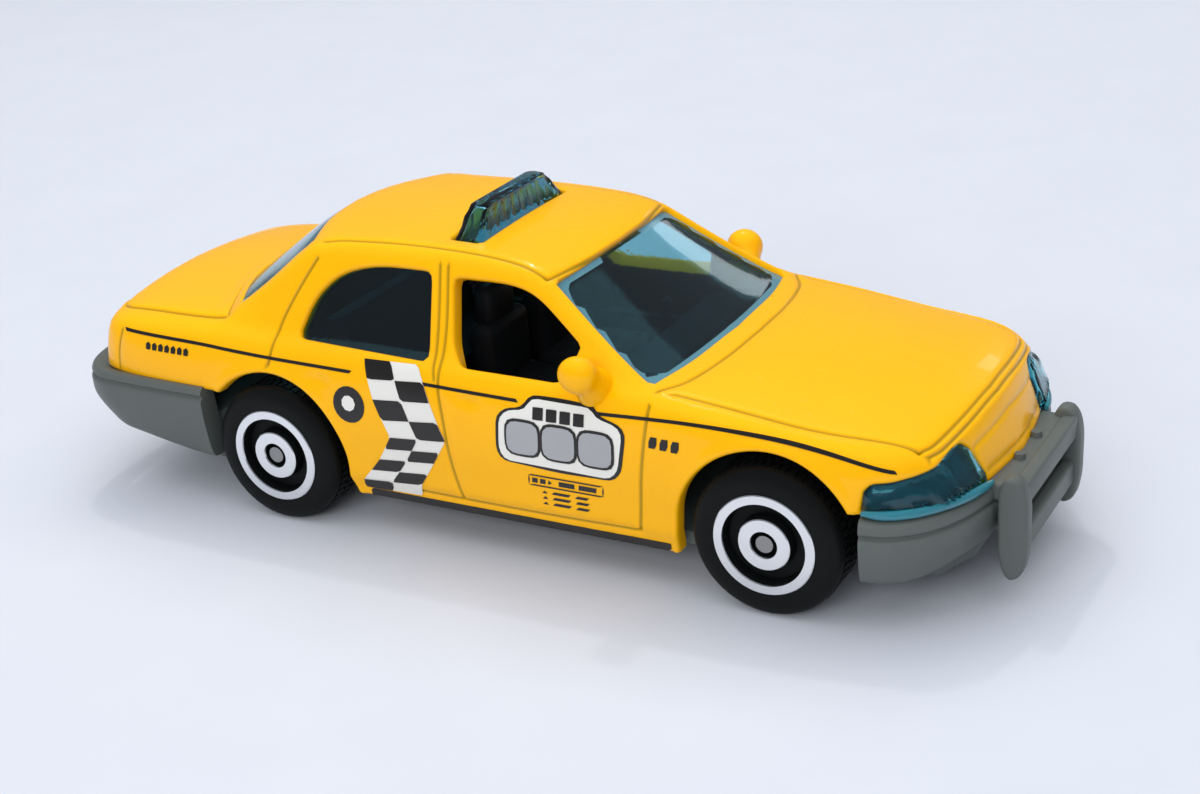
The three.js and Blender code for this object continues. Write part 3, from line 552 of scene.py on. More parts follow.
def eased_corner(before, here, after, radius, count):
    """The arc of a few points that replaces a corner."""
    before, here, after = (np.array(point[:2], float) for point in (before, here, after))
    ends = []
    for arm in (before - here, after - here):
        length = np.linalg.norm(arm)
        ends.append(here + arm / length * min(radius, 0.45 * length))
    return [(1 - t) ** 2 * ends[0] + 2 * t * (1 - t) * here + t * t * ends[1]
            for t in np.linspace(0, 1, count)]


def rounded(corners, radius, step=STEP):
    """A closed outline whose corners are arcs; a corner may carry its own radius."""
    out = []
    for i, corner in enumerate(corners):
        own = corner[2] if len(corner) > 2 else radius
        out += eased_corner(corners[i - 1], corner, corners[(i + 1) % len(corners)], own, 7)
    return walk(out, True, step)


def flowing(points, step=STEP):
    """A smooth open curve through points."""
    points = np.asarray(points, float)
    ends = np.vstack([2 * points[0] - points[1], points, 2 * points[-1] - points[-2]])
    out = []
    for i in range(len(points) - 1):
        a, b, c, d = ends[i : i + 4]
        for t in np.linspace(0, 1, 12, endpoint=False):
            out.append(0.5 * (2 * b + (c - a) * t + (2 * a - 5 * b + 4 * c - d) * t**2
                              + (3 * b - a - 3 * c + d) * t**3))
    out.append(points[-1])
    return walk(out, False, step)


def from_side(outline):
    """Patch places of an outline drawn in X and Z, as seen from the car's side."""
    points = np.array([(x, 0.0, z) for x, z in outline])
    return SKIN.seek(points, (1, 0, 1), (2, SKIN.u_end - 2, 4.2, SKIN.v_end))


def from_above(outline, zone=(2, 30, 0, 10)):
    """Patch places of an outline drawn in X and Y, as seen from above the left half."""
    points = np.array([(x, y, 0.0) for x, y in outline])
    return SKIN.seek(points, (1, 1, 0), zone)


def beside(uv, distance, closed):
    """An outline moved sideways on the skin; positive is to the left of its direction."""
    points = SKIN.at(uv)
    if closed:
        tangent = np.roll(points, -1, 0) - np.roll(points, 1, 0)
    else:
        tangent = np.gradient(points, axis=0)
    side = np.cross(SKIN.normal(uv), tangent)
    side *= distance / np.maximum(np.linalg.norm(side, axis=1), 1e-9)[:, None]
    moved = uv + SKIN.uv_step(uv, side)
    moved[:, 0] = moved[:, 0].clip(0, SKIN.u_end)
    moved[:, 1] = moved[:, 1].clip(0, SKIN.v_end)
    return moved


def inside(points, polygon):
    """Which flat points lie in a closed polygon."""
    x, y = points[:, 0], points[:, 1]
    result = np.zeros(len(points), bool)
    for (x0, y0), (x1, y1) in zip(polygon, np.roll(polygon, -1, 0)):
        if y0 == y1:
            continue
        crosses = (y0 > y) != (y1 > y)
        result ^= crosses & (x < (x1 - x0) * (y - y0) / (y1 - y0) + x0)
    return result


def distance_to(points, path):
    """Distance of each point from a polyline, or FAR_AWAY outside the path's own box."""
    low, high = path.min(0) - NEARBY, path.max(0) + NEARBY
    near = np.flatnonzero(((points > low) & (points < high)).all(1))
    result = np.full(len(points), FAR_AWAY)
    if not len(near):
        return result
    start, edge = path[:-1], np.diff(path, axis=0)
    length = np.maximum((edge**2).sum(1), 1e-12)
    for chunk in np.array_split(near, len(near) // 4000 + 1):
        offset = points[chunk][:, None] - start
        t = ((offset * edge).sum(2) / length).clip(0, 1)
        gap = offset - t[..., None] * edge
        result[chunk] = np.sqrt((gap**2).sum(2).min(1))
    return result


print("outlines walk in steps of", STEP, "mm")

# %% [markdown]
# ## Windows, arches and panel lines of this car
# The outlines below are in millimetres as a maker would dimension them: side features in
# X and Z, top features in X and Y. Panel lines are grooves with a width and a depth.

# %% Openings
REAR_SIDE_WINDOW = rounded([(-15.95, 15.05, 0.7), (-14.8, 17.9, 2.5), (-12.8, 19.75, 2.5),
                            (-9.7, 20.5, 2.5), (-4.95, 20.5, 0.6), (-4.1, 14.8, 0.4)], 0.6)
FRONT_SIDE_WINDOW = rounded([(-2.95, 20.3, 0.5), (-2.1, 15.8, 0.9), (-1.2, 14.75, 0.7),
                             (7.15, 14.7, 0.5), (8.15, 16.95, 0.3), (4.0, 19.85, 1.6),
                             (1.6, 20.35, 1.6)], 0.6)
rear_side_uv = from_side(REAR_SIDE_WINDOW)
front_side_uv = from_side(FRONT_SIDE_WINDOW)

WINDSCREEN_HALF = np.vstack([
    flowing([(5.9, 0.0), (5.8, 4.0), (5.3, 8.3)]),
    flowing([(5.4, 8.75), (9.7, 10.15), (13.6, 11.35)]),
    flowing([(13.95, 11.2), (14.75, 6.5), (15.1, 0.0)]),
])
windscreen_uv = from_above(WINDSCREEN_HALF)
REAR_GLASS_HALF = np.vstack([
    flowing([(-26.3, 0.0), (-25.5, 4.0), (-24.2, 7.4), (-22.7, 10.1)]),
    flowing([(-22.1, 10.2), (-19.6, 9.5), (-16.8, 8.5)]),
    flowing([(-16.5, 8.0), (-17.7, 4.0), (-18.1, 0.0)]),
])
rear_glass_uv = from_above(REAR_GLASS_HALF)
SIGN_X = (-5.0, -2.3)
SIGN_SLOT_HALF = np.vstack([
    flowing([(SIGN_X[0], 0.0), (SIGN_X[0], 6.2)]),
    flowing([(SIGN_X[0] + 0.3, 6.45), (SIGN_X[1] - 0.3, 6.45)]),
    flowing([(SIGN_X[1], 6.2), (SIGN_X[1], 0.0)]),
])
sign_slot_uv = from_above(SIGN_SLOT_HALF)
LAMP_OUTLINE = walk([
    (29.85, 13.5, 9.2), (30.0, 13.3, 10.4), (30.5, 13.2, 10.9), (31.9, 12.9, 11.05),
    (33.2, 12.0, 11.3), (34.2, 10.3, 11.6), (34.7, 8.5, 12.15), (35.0, 7.4, 12.2),
    (35.4, 6.7, 11.6), (36.0, 6.2, 10.3), (36.3, 6.0, 9.3), (36.35, 6.0, 8.8),
    (35.3, 9.6, 8.8), (33.6, 12.0, 8.8), (31.5, 13.3, 8.8), (29.9, 13.6, 8.8)], True, 0.3)
lamp_uv = SKIN.seek(LAMP_OUTLINE, (1, 1, 1), (20, SKIN.u_end, 2, SKIN.v_end))


def level_line(u_values, z):
    """Where the skin is at one height, on the lower side, for each place along the car."""
    out = []
    for u in u_values:
        column = np.stack([np.full(200, u), np.linspace(4.0, SKIN.v_end, 200)], -1)
        heights = SKIN.at(column)[:, 2]
        out.append((u, np.interp(-z, -heights, column[:, 1])))
    return np.array(out)


REAR_AXLE_X, FRONT_AXLE_X = AXLES_X = (-18.15, 23.05)
AXLE_Z = 5.6
ARCH_RADIUS = 6.65
REAR_SKIRT_Z, FRONT_SKIRT_Z, SILL_Z = 10.05, 8.72, 3.15


def arch(x, start, end):
    """The wheel arch's edge in X and Z from its rear foot over the top to its front foot."""
    a, b = math.radians(start), math.radians(end)
    return [(x + ARCH_RADIUS * math.cos(t), AXLE_Z + ARCH_RADIUS * math.sin(t))
            for t in np.linspace(a, b, 40)]


rear_arch = arch(REAR_AXLE_X, 138, -8) + [(-11.35, 4.0), (-11.1, SILL_Z)]
front_arch = [(16.2, SILL_Z), (16.25, 4.2)] + arch(FRONT_AXLE_X, 178, 28)
sill = [(-9.5, SILL_Z), (0.0, SILL_Z), (14.5, SILL_Z)]
side_edge_uv = from_side(walk(rear_arch + sill + front_arch, False))
tail_edge_uv = level_line(np.linspace(0.0, side_edge_uv[0, 0], 50), REAR_SKIRT_Z)
nose_edge_uv = level_line(np.linspace(side_edge_uv[-1, 0], SKIN.u_end, 50), FRONT_SKIRT_Z)
lower_edge_uv = np.vstack([tail_edge_uv[:-1], side_edge_uv, nose_edge_uv[1:]])
arch_uvs = [from_side(walk(rear_arch, False)), from_side(walk(front_arch, False))]
print("lower edge:", len(lower_edge_uv), "points, from skirt to arch to sill")

# %% Panel lines
LINE_HALF, LINE_DEPTH = 0.16, 0.16
# The second and third numbers say how far a groove's centre turns to the colour of pooled enamel
# and painted shade.
FAINT_DEPTH, LINE_POOL_AND_SHADE, FAINT_POOL_AND_SHADE = 0.07, 0.8, 0.22
SIDE_LINES = [
    # the rear door's back edge
    [(-14.9, 20.6), (-16.5, 18.0), (-17.6, 15.8), (-17.95, 14.0), (-18.15, 12.9)],
    # the pillar between the doors: its rear side, then the doors' gap down to the sill
    [(-4.25, 21.0), (-3.7, 17.4), (-3.45, 15.0), (-3.15, 13.6)],
    [(-3.55, 21.0), (-3.0, 17.4), (-2.85, 15.0), (-2.75, 13.0), (-2.35, 10.8), (-1.9, 6.8),
     (-1.35, 4.5)],
    # the front door's leading edge, the doors' lower edge, the end of the rear wing
    [(14.4, 14.2), (14.1, 11.5), (13.6, 7.0), (13.35, 4.6)],
    [(-8.6, 4.55), (-1.4, 4.45), (6.0, 4.45), (13.3, 4.6)],
    [(-33.3, 13.6), (-33.7, 11.8), (-33.8, 10.3)],
]
TOP_LINES = [
    # the gutter and the roof's front edge
    [(-14.6, 8.75), (-12.5, 8.35), (-7.5, 8.15), (-2.0, 8.2), (2.0, 8.45), (4.6, 8.9)],
    [(6.0, 0.0), (5.75, 4.0), (4.95, 8.3), (4.6, 8.9)],
    # the boot lid: front, side and rear
    [(-27.3, 0.0), (-26.4, 4.0), (-25.0, 7.7), (-23.4, 11.1)],
    [(-23.4, 11.1), (-28.5, 11.0), (-33.5, 10.5), (-35.2, 9.8)],
    [(-35.2, 9.8), (-36.2, 6.0), (-36.4, 0.0)],
    # the bonnet: rear, side, and the double line at its front
    [(16.9, 0.0), (16.7, 5.0), (15.9, 9.5), (14.6, 11.95)],
    [(15.8, 11.8), (21.0, 11.75), (27.0, 11.55), (32.9, 10.6)],
    [(34.2, 0.0), (34.0, 5.0), (33.5, 9.0), (32.9, 10.6)],
    [(34.75, 0.0), (34.55, 5.0), (34.0, 9.0), (33.5, 10.3)],
]
line_uvs = [from_side(flowing(line)) for line in SIDE_LINES]
line_uvs += [from_above(flowing(line), (1, SKIN.u_end - 1, 0, 10)) for line in TOP_LINES]
# the grille's outline and its lower edge, in Y and Z as seen from the front
GRILLE_LINES = [[(0.0, 11.7), (5.6, 11.35), (6.2, 10.9), (6.1, 9.3)], [(0.0, 9.45), (5.6, 9.45)]]
faint_uvs = [
    SKIN.seek([(36.0, y, z) for y, z in flowing(line)], (0, 1, 1), (24, SKIN.u_end, 0, 14))
    for line in GRILLE_LINES
]
print("panel lines:", len(line_uvs) + len(faint_uvs))

# %% [markdown]
# ## Cutting the sheet
# The skin is cut flat and then wrapped, as a paper pattern is. In the flat pattern every
# outline and every panel line is a row of edges that the triangles must follow, which is
# what a constrained Delaunay triangulation does, and a boolean on a curved mesh does
# badly. The wrap puts each corner exactly on the patch, so that the gloss runs clean up to
# the cut. Rows of edges beside each line give the groove and the rolled lip their shape.

# %% Cutting and wrapping
def cut_sheet(border, holes=(), creases=(), spacing=0.5):
    """Triangles of a flat sheet with holes, following creases. Returns (u, v) and faces."""
    rows = [(border, True)] + [(hole, True) for hole in holes] + [(c, False) for c in creases]
    corners, edges = [], []
    for row, closed in rows:
        first = len(corners)
        corners.extend(map(tuple, row))
        count = len(row)
        last = count if closed else count - 1
        edges += [(first + i, first + (i + 1) % count) for i in range(last)]
    tree = kdtree.KDTree(len(corners))
    for i, (a, b) in enumerate(corners):
        tree.insert((a, b, 0), i)
    tree.balance()
    low, high = border.min(0), border.max(0)
    grid = []
    for k, a in enumerate(np.arange(low[0] + spacing / 2, high[0], spacing * 0.87)):
        shift = spacing / 2 if k % 2 else 0.0
        grid += [(a, b) for b in np.arange(low[1] + shift + 0.1 * spacing, high[1], spacing)]
    grid = np.array(grid).reshape(-1, 2)
    keep = inside(grid, border)
    for hole in holes:
        keep &= ~inside(grid, hole)
    for a, b in grid[keep]:
        if tree.find((a, b, 0))[2] > 0.55 * spacing:
            corners.append((a, b))
    made = delaunay_2d_cdt([Vector(c) for c in corners], edges, [], 0, 1e-6, False)
    flat = np.array([tuple(v) for v in made[0]])
    faces = np.array(made[2])
    middles = flat[faces].mean(1)
    keep = inside(middles, border)
    for hole in holes:
        keep &= ~inside(middles, hole)
    faces = faces[keep]
    used = np.unique(faces)
    number = np.full(len(flat), -1)
    number[used] = np.arange(len(used))
    return SKIN.unflat(flat[used]), number[faces]


def wrap(uv, faces, depth, line=None, wall=0.0):
    """The sheet on the skin, in or out by a depth per corner, with an optional wall."""
    places, normals = SKIN.at(uv), SKIN.normal(uv)
    outer = places + normals * np.asarray(depth).reshape(-1, 1)
    middle = uv[:, 1] < 1e-4
    a, b, c = outer[faces[0]]
    if np.cross(b - a, c - a).dot(normals[faces[0][0]]) < 0:
        faces = faces[:, ::-1]
    bm = bmesh.new()
    layer = bm.verts.layers.float.new("line")

    def add_corners(points):
        points = np.where(middle[:, None], points * (1, 0, 1), points)
        return [bm.verts.new(p) for p in points]

    front = add_corners(outer)
    for i, corner in enumerate(front):
        corner[layer] = float(line[i]) if line is not None else 0.0
    for a, b, c in faces:
        bm.faces.new((front[a], front[b], front[c]))
    if wall:
        back = add_corners(outer - normals * wall)
        for a, b, c in faces:
            bm.faces.new((back[c], back[b], back[a])).material_index = 1
        directed = {(e[i], e[(i + 1) % 3]) for e in faces.tolist() for i in range(3)}
        for a, b in directed:
            if (b, a) not in directed and not (middle[a] and middle[b]):
                bm.faces.new((front[b], front[a], back[a], back[b]))
    return bm


def both_sides(half_uv):
    """A closed flat outline across the middle, from the half on the left."""
    flat = SKIN.flat(half_uv)
    return np.vstack([flat, (flat * (1, -1))[::-1][1:-1]])


print("sheet tools: cut_sheet, wrap, both_sides")

# %% [markdown]
# ## Relief of the casting
# One function gives the depth of the skin at every corner: grooves along the panel lines,
# rolled edges at the openings where enamel draws back, proud lips round the wheel arches,
# and the shallow recesses of the door handles.

# %% Relief
EDGE_ROUND = 0.32
LIP_WIDTH, LIP_HEIGHT = 0.75, 0.16
HANDLES = [(-13.4, 12.4), (-0.1, 12.6)]
HANDLE_HALF_X, HANDLE_HALF_Z, HANDLE_DEPTH = 1.3, 0.42, 0.3
ON_THE_SIDE = 9.0  # skin further out than this belongs to the doors


def closed_path(uv):
    points = SKIN.at(uv)
    return np.vstack([points, points[:1]])


window_paths = [closed_path(uv) for uv in (rear_side_uv, front_side_uv, lamp_uv)]
window_paths += [SKIN.at(uv) for uv in (windscreen_uv, rear_glass_uv, sign_slot_uv, lower_edge_uv)]
line_paths = [(SKIN.at(uv), LINE_DEPTH, LINE_POOL_AND_SHADE) for uv in line_uvs]
line_paths += [(SKIN.at(uv), FAINT_DEPTH, FAINT_POOL_AND_SHADE) for uv in faint_uvs]
arch_paths = [SKIN.at(uv) for uv in arch_uvs]


def relief(uv):
    """(depth, line colour) of the casting's skin at patch places; the line colour is pooled enamel
    and painted shade in the grooves.
    """
    points = SKIN.at(uv)
    depth = np.zeros(len(points))
    pool_and_shade = np.zeros(len(points))
    for path in window_paths:
        gap = distance_to(points, path).clip(0, EDGE_ROUND)
        depth -= EDGE_ROUND - np.sqrt(EDGE_ROUND**2 - (EDGE_ROUND - gap) ** 2)
    for path, deep, strength in line_paths:
        share = 1 - (distance_to(points, path) / (1.6 * LINE_HALF)).clip(0, 1)
        depth -= deep * share * share * (3 - 2 * share)
        # The groove's centre gets the colour of pooled enamel and painted shade.
        pool_and_shade = np.maximum(pool_and_shade, strength * ((share - 0.35) / 0.4).clip(0, 1))
    for path in arch_paths:
        share = 1 - (distance_to(points, path) / LIP_WIDTH).clip(0, 1)
        depth += LIP_HEIGHT * np.minimum(1, 2.2 * share) ** 2
    for x, z in HANDLES:
        share = 1 - np.sqrt(((points[:, 0] - x) / HANDLE_HALF_X) ** 2
                            + ((points[:, 2] - z) / HANDLE_HALF_Z) ** 2).clip(0, 1)
        hollow = HANDLE_DEPTH * share * share * (3 - 2 * share)
        depth -= np.where(points[:, 1] > ON_THE_SIDE, hollow, 0)
    return depth, pool_and_shade


print("relief:", len(line_paths), "lines,", len(window_paths), "rolled edges")

# %% [markdown]
# ## The body casting
# The left half is cut, wrapped and mirrored, and a wall is given to the sheet from the
# inside. The wall gets a second, near-black finish, which is painted shade for the inside
# of the shell, where a real toy's casting is bare metal.

# %% Body casting
CASTING_WALL = 0.85
EDGE_ROWS = (0.06, 0.16, 0.32)
GROOVE_ROWS = (-0.26, -0.16, -0.08, 0, 0.08, 0.16, 0.26)
FAINT_ROWS = (-0.24, -0.12, 0, 0.12, 0.24)


def crease_rows(uv, offsets):
    """Rows of edges beside an open line."""
    return [SKIN.flat(beside(uv, offset, False)) for offset in offsets]


def build_casting():
    middle = np.stack([np.linspace(0, SKIN.u_end, 260), np.zeros(260)], -1)
    border = np.vstack([SKIN.flat(middle), SKIN.flat(lower_edge_uv)[::-1]])
    gaps = np.linalg.norm(np.diff(border, axis=0), axis=1)
    border = border[np.concatenate([[True], gaps > 1e-5])]
    holes = [SKIN.flat(rear_side_uv), SKIN.flat(front_side_uv), SKIN.flat(lamp_uv)]
    holes += [both_sides(uv) for uv in (windscreen_uv, rear_glass_uv, sign_slot_uv)]
    creases = []
    for uv in (rear_side_uv, front_side_uv, lamp_uv):
        for row in EDGE_ROWS:
            for sign in (-1, 1):
                flat = SKIN.flat(beside(uv, sign * row, True))
                if not inside(flat[:1], SKIN.flat(uv))[0]:
                    creases.append(np.vstack([flat, flat[:1]]))
    for uv in (windscreen_uv, rear_glass_uv, sign_slot_uv, lower_edge_uv):
        creases += crease_rows(uv, [sign * row for sign in (-1, 1) for row in EDGE_ROWS])
    for uv in arch_uvs:
        creases += crease_rows(uv, (-LIP_WIDTH, LIP_WIDTH))
    for uv in line_uvs:
        creases += crease_rows(uv, GROOVE_ROWS)
    for uv in faint_uvs:
        creases += crease_rows(uv, FAINT_ROWS)
    creases = [row for row in creases if len(row) > 1]
    uv, faces = cut_sheet(border, holes, creases, 0.5)
    depth, pool_and_shade = relief(uv)
    bm = wrap(uv, faces, depth, pool_and_shade, CASTING_WALL)
    mirror_all(bm)
    return bm


add_piece("body_casting_skin", build_casting(), [ENAMEL, INSIDE_SHADE],
          stands_for=["body_casting"], smooth=55)

# %% [markdown]
# ## Glazing
# The glazing of a toy like this is one clear moulding inside the casting, with a rim that
# follows each opening and catches the light. Here it is four panes on the same patch as the
# casting, each a little larger than its opening and set under it. The rim is a band of
# faces with a paler, less clear finish, which paints the light that the rim catches.

# %% Panes
PANE_DEPTH, PANE_WALL, RIM_WIDTH = 0.42, 0.5, 0.8
PANE_OVERLAP, RIM_ROW = 0.3, 0.22  # past the opening's edge; a second row beside the rim


def pane(outline_uv, across, side=1, depth=PANE_DEPTH, rim=RIM_WIDTH):
    """A pane under an opening, across the car's middle or on one of its sides."""
    offsets = (PANE_OVERLAP, rim, rim + RIM_ROW)
    rows = {sign * d: SKIN.flat(beside(outline_uv, sign * d, not across))
            for d in offsets for sign in (-1, 1)}
    outline = both_sides(outline_uv) if across else SKIN.flat(outline_uv)
    outward = 1 if inside(rows[-PANE_OVERLAP][5:6], outline)[0] else -1
    border = rows[outward * PANE_OVERLAP]
    if across:
        border = np.vstack([border[:1] * (1, 0), border, border[-1:] * (1, 0)])
        border = np.vstack([border, walk([border[-1], border[0]], False)[1:-1]])
    creases = [rows[-outward * d] for d in offsets[1:]] if rim else []
    uv, faces = cut_sheet(border, (), creases, 0.6)
    path = SKIN.at(outline_uv) if across else closed_path(outline_uv)
    in_rim = distance_to(SKIN.at(uv), path) < rim + 0.01
    bm = wrap(uv, faces, -depth, in_rim, PANE_WALL)
    layer = bm.verts.layers.float["line"]
    # Rim faces get the paler finish, which is a painted highlight.
    for face in bm.faces:
        if face.material_index == 0 and min(v[layer] for v in face.verts) > 0.5:
            face.material_index = 2
    if across:
        mirror_all(bm)
    to_side(bm, side)
    return bm


def add_pane(name, *args, **kind):
    add_piece(name + "_pane", pane(*args, **kind), [GLAZING, GLAZING, GLAZING_RIM_HIGHLIGHT],
              stands_for=[name])


add_pane("windscreen", windscreen_uv, True)
add_pane("rear_window", rear_glass_uv, True, depth=0.2, rim=0.5)
add_pane("left_rear_side_window", rear_side_uv, False, 1, rim=0)
add_pane("right_rear_side_window", rear_side_uv, False, -1, rim=0)

# %% [markdown]
# ## Headlamps
# Each lamp is a clear moulding that fills the corner of the wing. Its face stands a little
# proud and is rolled at its edge, and a rounded lip runs along its foot, with a paler finish
# that paints the highlight along it. Behind it sits a dark faceted back, which gives the
# glass its depth.

# %% Headlamps
LENS_WALL = 0.35
LIP_Z = 9.15


def lamp_sheet(depth_rule, wall):
    """The lamp's outline as a sheet whose depth follows a rule."""
    uv, faces = cut_sheet(SKIN.flat(lamp_uv), (), [], 0.4)
    points = SKIN.at(uv)
    gap = distance_to(points, closed_path(lamp_uv))
    return wrap(uv, faces, depth_rule(points, gap), None, wall)


def lens_depth(points, gap):
    lip = np.exp(-(((points[:, 2] - LIP_Z) / 0.3) ** 2)) * (gap / 0.3).clip(0, 1)
    return -0.1 + 0.38 * np.sqrt((gap / 0.8).clip(0, 1)) + 0.22 * lip


def back_depth(points, gap):
    ribs = np.abs(((points[:, 1] + 0.6 * points[:, 0]) / 0.75) % 1 - 0.5)
    return -0.75 + 0.35 * ribs * (gap > 0.3)


for side, label in SIDES:
    for part, rule, material, wall, stands_for in (
            ("lens", lens_depth, LAMP_CLEAR, LENS_WALL, [label + "_headlamp"]),
            ("back", back_depth, LAMP_BACK, 0.0, ())):
        bm = lamp_sheet(rule, wall)
        to_side(bm, side)
        add_piece(f"{label}_headlamp_{part}", bm, [material, material],
                  stands_for=stands_for)

# %% [markdown]
# ## Bumpers
# A bumper is one section carried round the end of the car. A bevelled curve could do it, but
# its section can't change on the way, and here the foot rises towards the tail. So the
# section is drawn afresh at each step of the plan, and neighbouring sections are loops of
# edges that `bridge_loops` joins. The bead under each lamp is made the same way; its paler
# finish is a painted highlight.

# %% Bumpers
def carry(bm, path, section_at):
    """Bridges one closed section after another along a plan path of (x, y)."""
    tangent = np.gradient(path, axis=0)
    tangent /= np.linalg.norm(tangent, axis=1)[:, None]
    outward = np.stack([-tangent[:, 1], tangent[:, 0]], -1)
    loops = []
    for i, (place, out) in enumerate(zip(path, outward)):
        ring = [bm.verts.new((place[0] + out[0] * o, place[1] + out[1] * o, z))
                for o, z in section_at(i / (len(path) - 1), place[0])]
        loops.append([bm.edges.new((ring[k - 1], ring[k])) for k in range(len(ring))])
    for a, b in zip(loops, loops[1:]):
        bmesh.ops.bridge_loops(bm, edges=a + b)
    for ends in (loops[0], loops[-1]):
        bmesh.ops.contextual_create(bm, geom=ends)
    bmesh.ops.recalc_face_normals(bm, faces=bm.faces)


# Plans in X and Y, from the middle round the corner to the wheel arch.
FRONT_PLAN_HALF = [(37.0, 0.0), (36.85, 3.5), (36.35, 7.0), (35.4, 10.0), (33.9, 12.4),
                   (31.9, 13.9), (29.95, 14.35)]
REAR_PLAN_HALF = [(-38.95, 0.0), (-38.9, 4.5), (-38.7, 8.2), (-38.2, 10.8), (-37.1, 12.8),
                  (-35.2, 13.9), (-32.5, 14.2), (-28.0, 14.3), (-24.6, 14.3)]
LIP_PLAN = [(29.95, 13.62), (31.5, 13.4), (33.2, 12.3), (34.6, 10.6), (35.6, 8.8),
            (36.2, 7.0), (36.35, 6.3)]
LIP_RADIUS, LIP_CENTRE_Z = 0.34, 9.02


def whole_plan(half):
    left = flowing(half, 0.45)
    return np.vstack([left[::-1], (left * (1, -1))[1:]])


def smooth_share(value, low, high):
    t = min(max((value - low) / (high - low), 0.0), 1.0)
    return t * t * (3 - 2 * t)


def corner_round(steps):
    """A closed section from corners of (outward, height, radius)."""
    return [tuple(point) for i, step in enumerate(steps)
            for point in eased_corner(steps[i - 1], step, steps[(i + 1) % len(steps)], step[2], 3)]


def front_section(share, x):
    """The front bumper's section; its foot rises towards the middle of the car."""
    foot = 3.95 + 0.7 * smooth_share(x, 32.5, 36.8)
    return corner_round([
        (-1.5, 8.55, 0.1), (-0.45, 8.65, 0.25), (0.0, 8.35, 0.3), (0.05, 7.75, 0.12),
        (-0.22, 7.6, 0.1), (-0.22, 7.45, 0.1), (0.1, 7.3, 0.15), (0.1, 6.2, 0.5),
        (-0.2, foot + 0.7, 0.4), (-0.45, foot, 0.35), (-1.5, foot, 0.1)])


def rear_section(share, x):
    """The rear bumper's section; its foot rises and tucks in towards the tail."""
    tuck = smooth_share(-x, 33.0, 38.5)
    foot = 4.2 + 1.3 * smooth_share(-x, 24.0, 36.0)
    return corner_round([
        (-1.5, 10.0, 0.1), (-0.5, 10.35, 0.2), (-0.12, 10.2, 0.2), (0.05, 9.75, 0.15),
        (-0.16, 9.6, 0.1), (-0.16, 9.45, 0.1), (0.12, 9.3, 0.2), (0.1, 7.9, 0.5),
        (-0.25 - 0.5 * tuck, foot + 1.0, 0.6), (-0.6 - 1.4 * tuck, foot, 0.4), (-2.2, foot, 0.1)])


def lip_section(share, x):
    """A round bead under the lamp, thinner towards its two ends."""
    size = LIP_RADIUS * (1 - 0.5 * (2 * share - 1) ** 6)
    return [(size * math.cos(t) - 0.05, LIP_CENTRE_Z + size * math.sin(t))
            for t in np.linspace(0, 2 * math.pi, 17)[:-1]]


for side, label in SIDES:
    bm = bmesh.new()
    carry(bm, flowing(LIP_PLAN, 0.4) * (1, side), lip_section)
    add_piece(label + "_headlamp_lip", bm, [LAMP_LIP_HIGHLIGHT])
for end, plan, section_at in (("front", whole_plan(FRONT_PLAN_HALF), front_section),
                              ("rear", whole_plan(REAR_PLAN_HALF)[::-1], rear_section)):
    bm = bmesh.new()
    carry(bm, plan, section_at)
    add_piece(end + "_bumper_skin", bm, [GREY],
              stands_for=[end + "_bumper"])
bm = bmesh.new()
add_box(bm, (-34.6, -12.9, 5.8), (-24.7, 12.9, 7.4), 0.5)
add_piece("rear_valance", bm, [GREY])

# %% [markdown]
# ## Base plate
# The plate is one outline extruded to a slab, with a bay for each wheel. Its underside is
# inset and pushed up, which leaves a rim, and its tail is bent up behind the rear bumper.
# Ribs stand in the recess, as moulded plates have them for stiffness.

# %% Base plate
PLATE_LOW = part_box("base_plate")[0][2] / MM
PLATE_THICKNESS, PLATE_RECESS, RIM_INSET = 1.0, 0.3, 0.8
PLATE_HALF, TAIL_HALF, BAY_HALF, BAY_REACH = 11.5, 10.4, 9.5, 6.5
KICK_START, KICK_SLOPE = -28.7, 0.2
RIB_HALF, RIB_LOW, RIB_HIGH = 0.35, PLATE_LOW + 0.05, PLATE_LOW + 0.6


def plate_outline():
    half = [(-35.4, 7.5), (-34.4, 9.6), (-33.0, TAIL_HALF), (-27.5, TAIL_HALF),
            (-26.0, PLATE_HALF)]
    for x in AXLES_X:
        half += [(x - BAY_REACH, PLATE_HALF), (x - BAY_REACH, BAY_HALF),
                 (x + BAY_REACH, BAY_HALF), (x + BAY_REACH, PLATE_HALF)]
    half += [(31.6, 11.2), (33.8, 9.4), (35.2, 6.0)]
    return half + [(x, -y) for x, y in reversed(half)]


bm = bmesh.new()
outline = bm.faces.new([bm.verts.new((x, y, PLATE_LOW)) for x, y in plate_outline()])
made = bmesh.ops.extrude_face_region(bm, geom=[outline])["geom"]
top = [v for v in made if isinstance(v, bmesh.types.BMVert)]
bmesh.ops.translate(bm, vec=(0, 0, PLATE_THICKNESS), verts=top)
bmesh.ops.recalc_face_normals(bm, faces=bm.faces)
bmesh.ops.bisect_plane(bm, geom=bm.verts[:] + bm.edges[:] + bm.faces[:],
                       plane_co=(KICK_START, 0, 0), plane_no=(1, 0, 0))
under = [f for f in bm.faces if f.normal.z < -0.9]
bmesh.ops.inset_region(bm, faces=under, thickness=RIM_INSET, use_even_offset=True)
recess = list({v for f in under for v in f.verts})
bmesh.ops.translate(bm, vec=(0, 0, PLATE_RECESS), verts=recess)
for y in (-5.4, -3.1, 3.1, 5.4):
    add_box(bm, (-9.5, y - RIB_HALF, RIB_LOW), (14.5, y + RIB_HALF, RIB_HIGH), 0.15)
for x in (-22.0, -14.3, 19.2, 26.9):
    add_box(bm, (x - RIB_HALF, -8.0, RIB_LOW), (x + RIB_HALF, 8.0, RIB_HIGH), 0.15)
for v in bm.verts:
    v.co.z += max(KICK_START - v.co.x, 0.0) * KICK_SLOPE
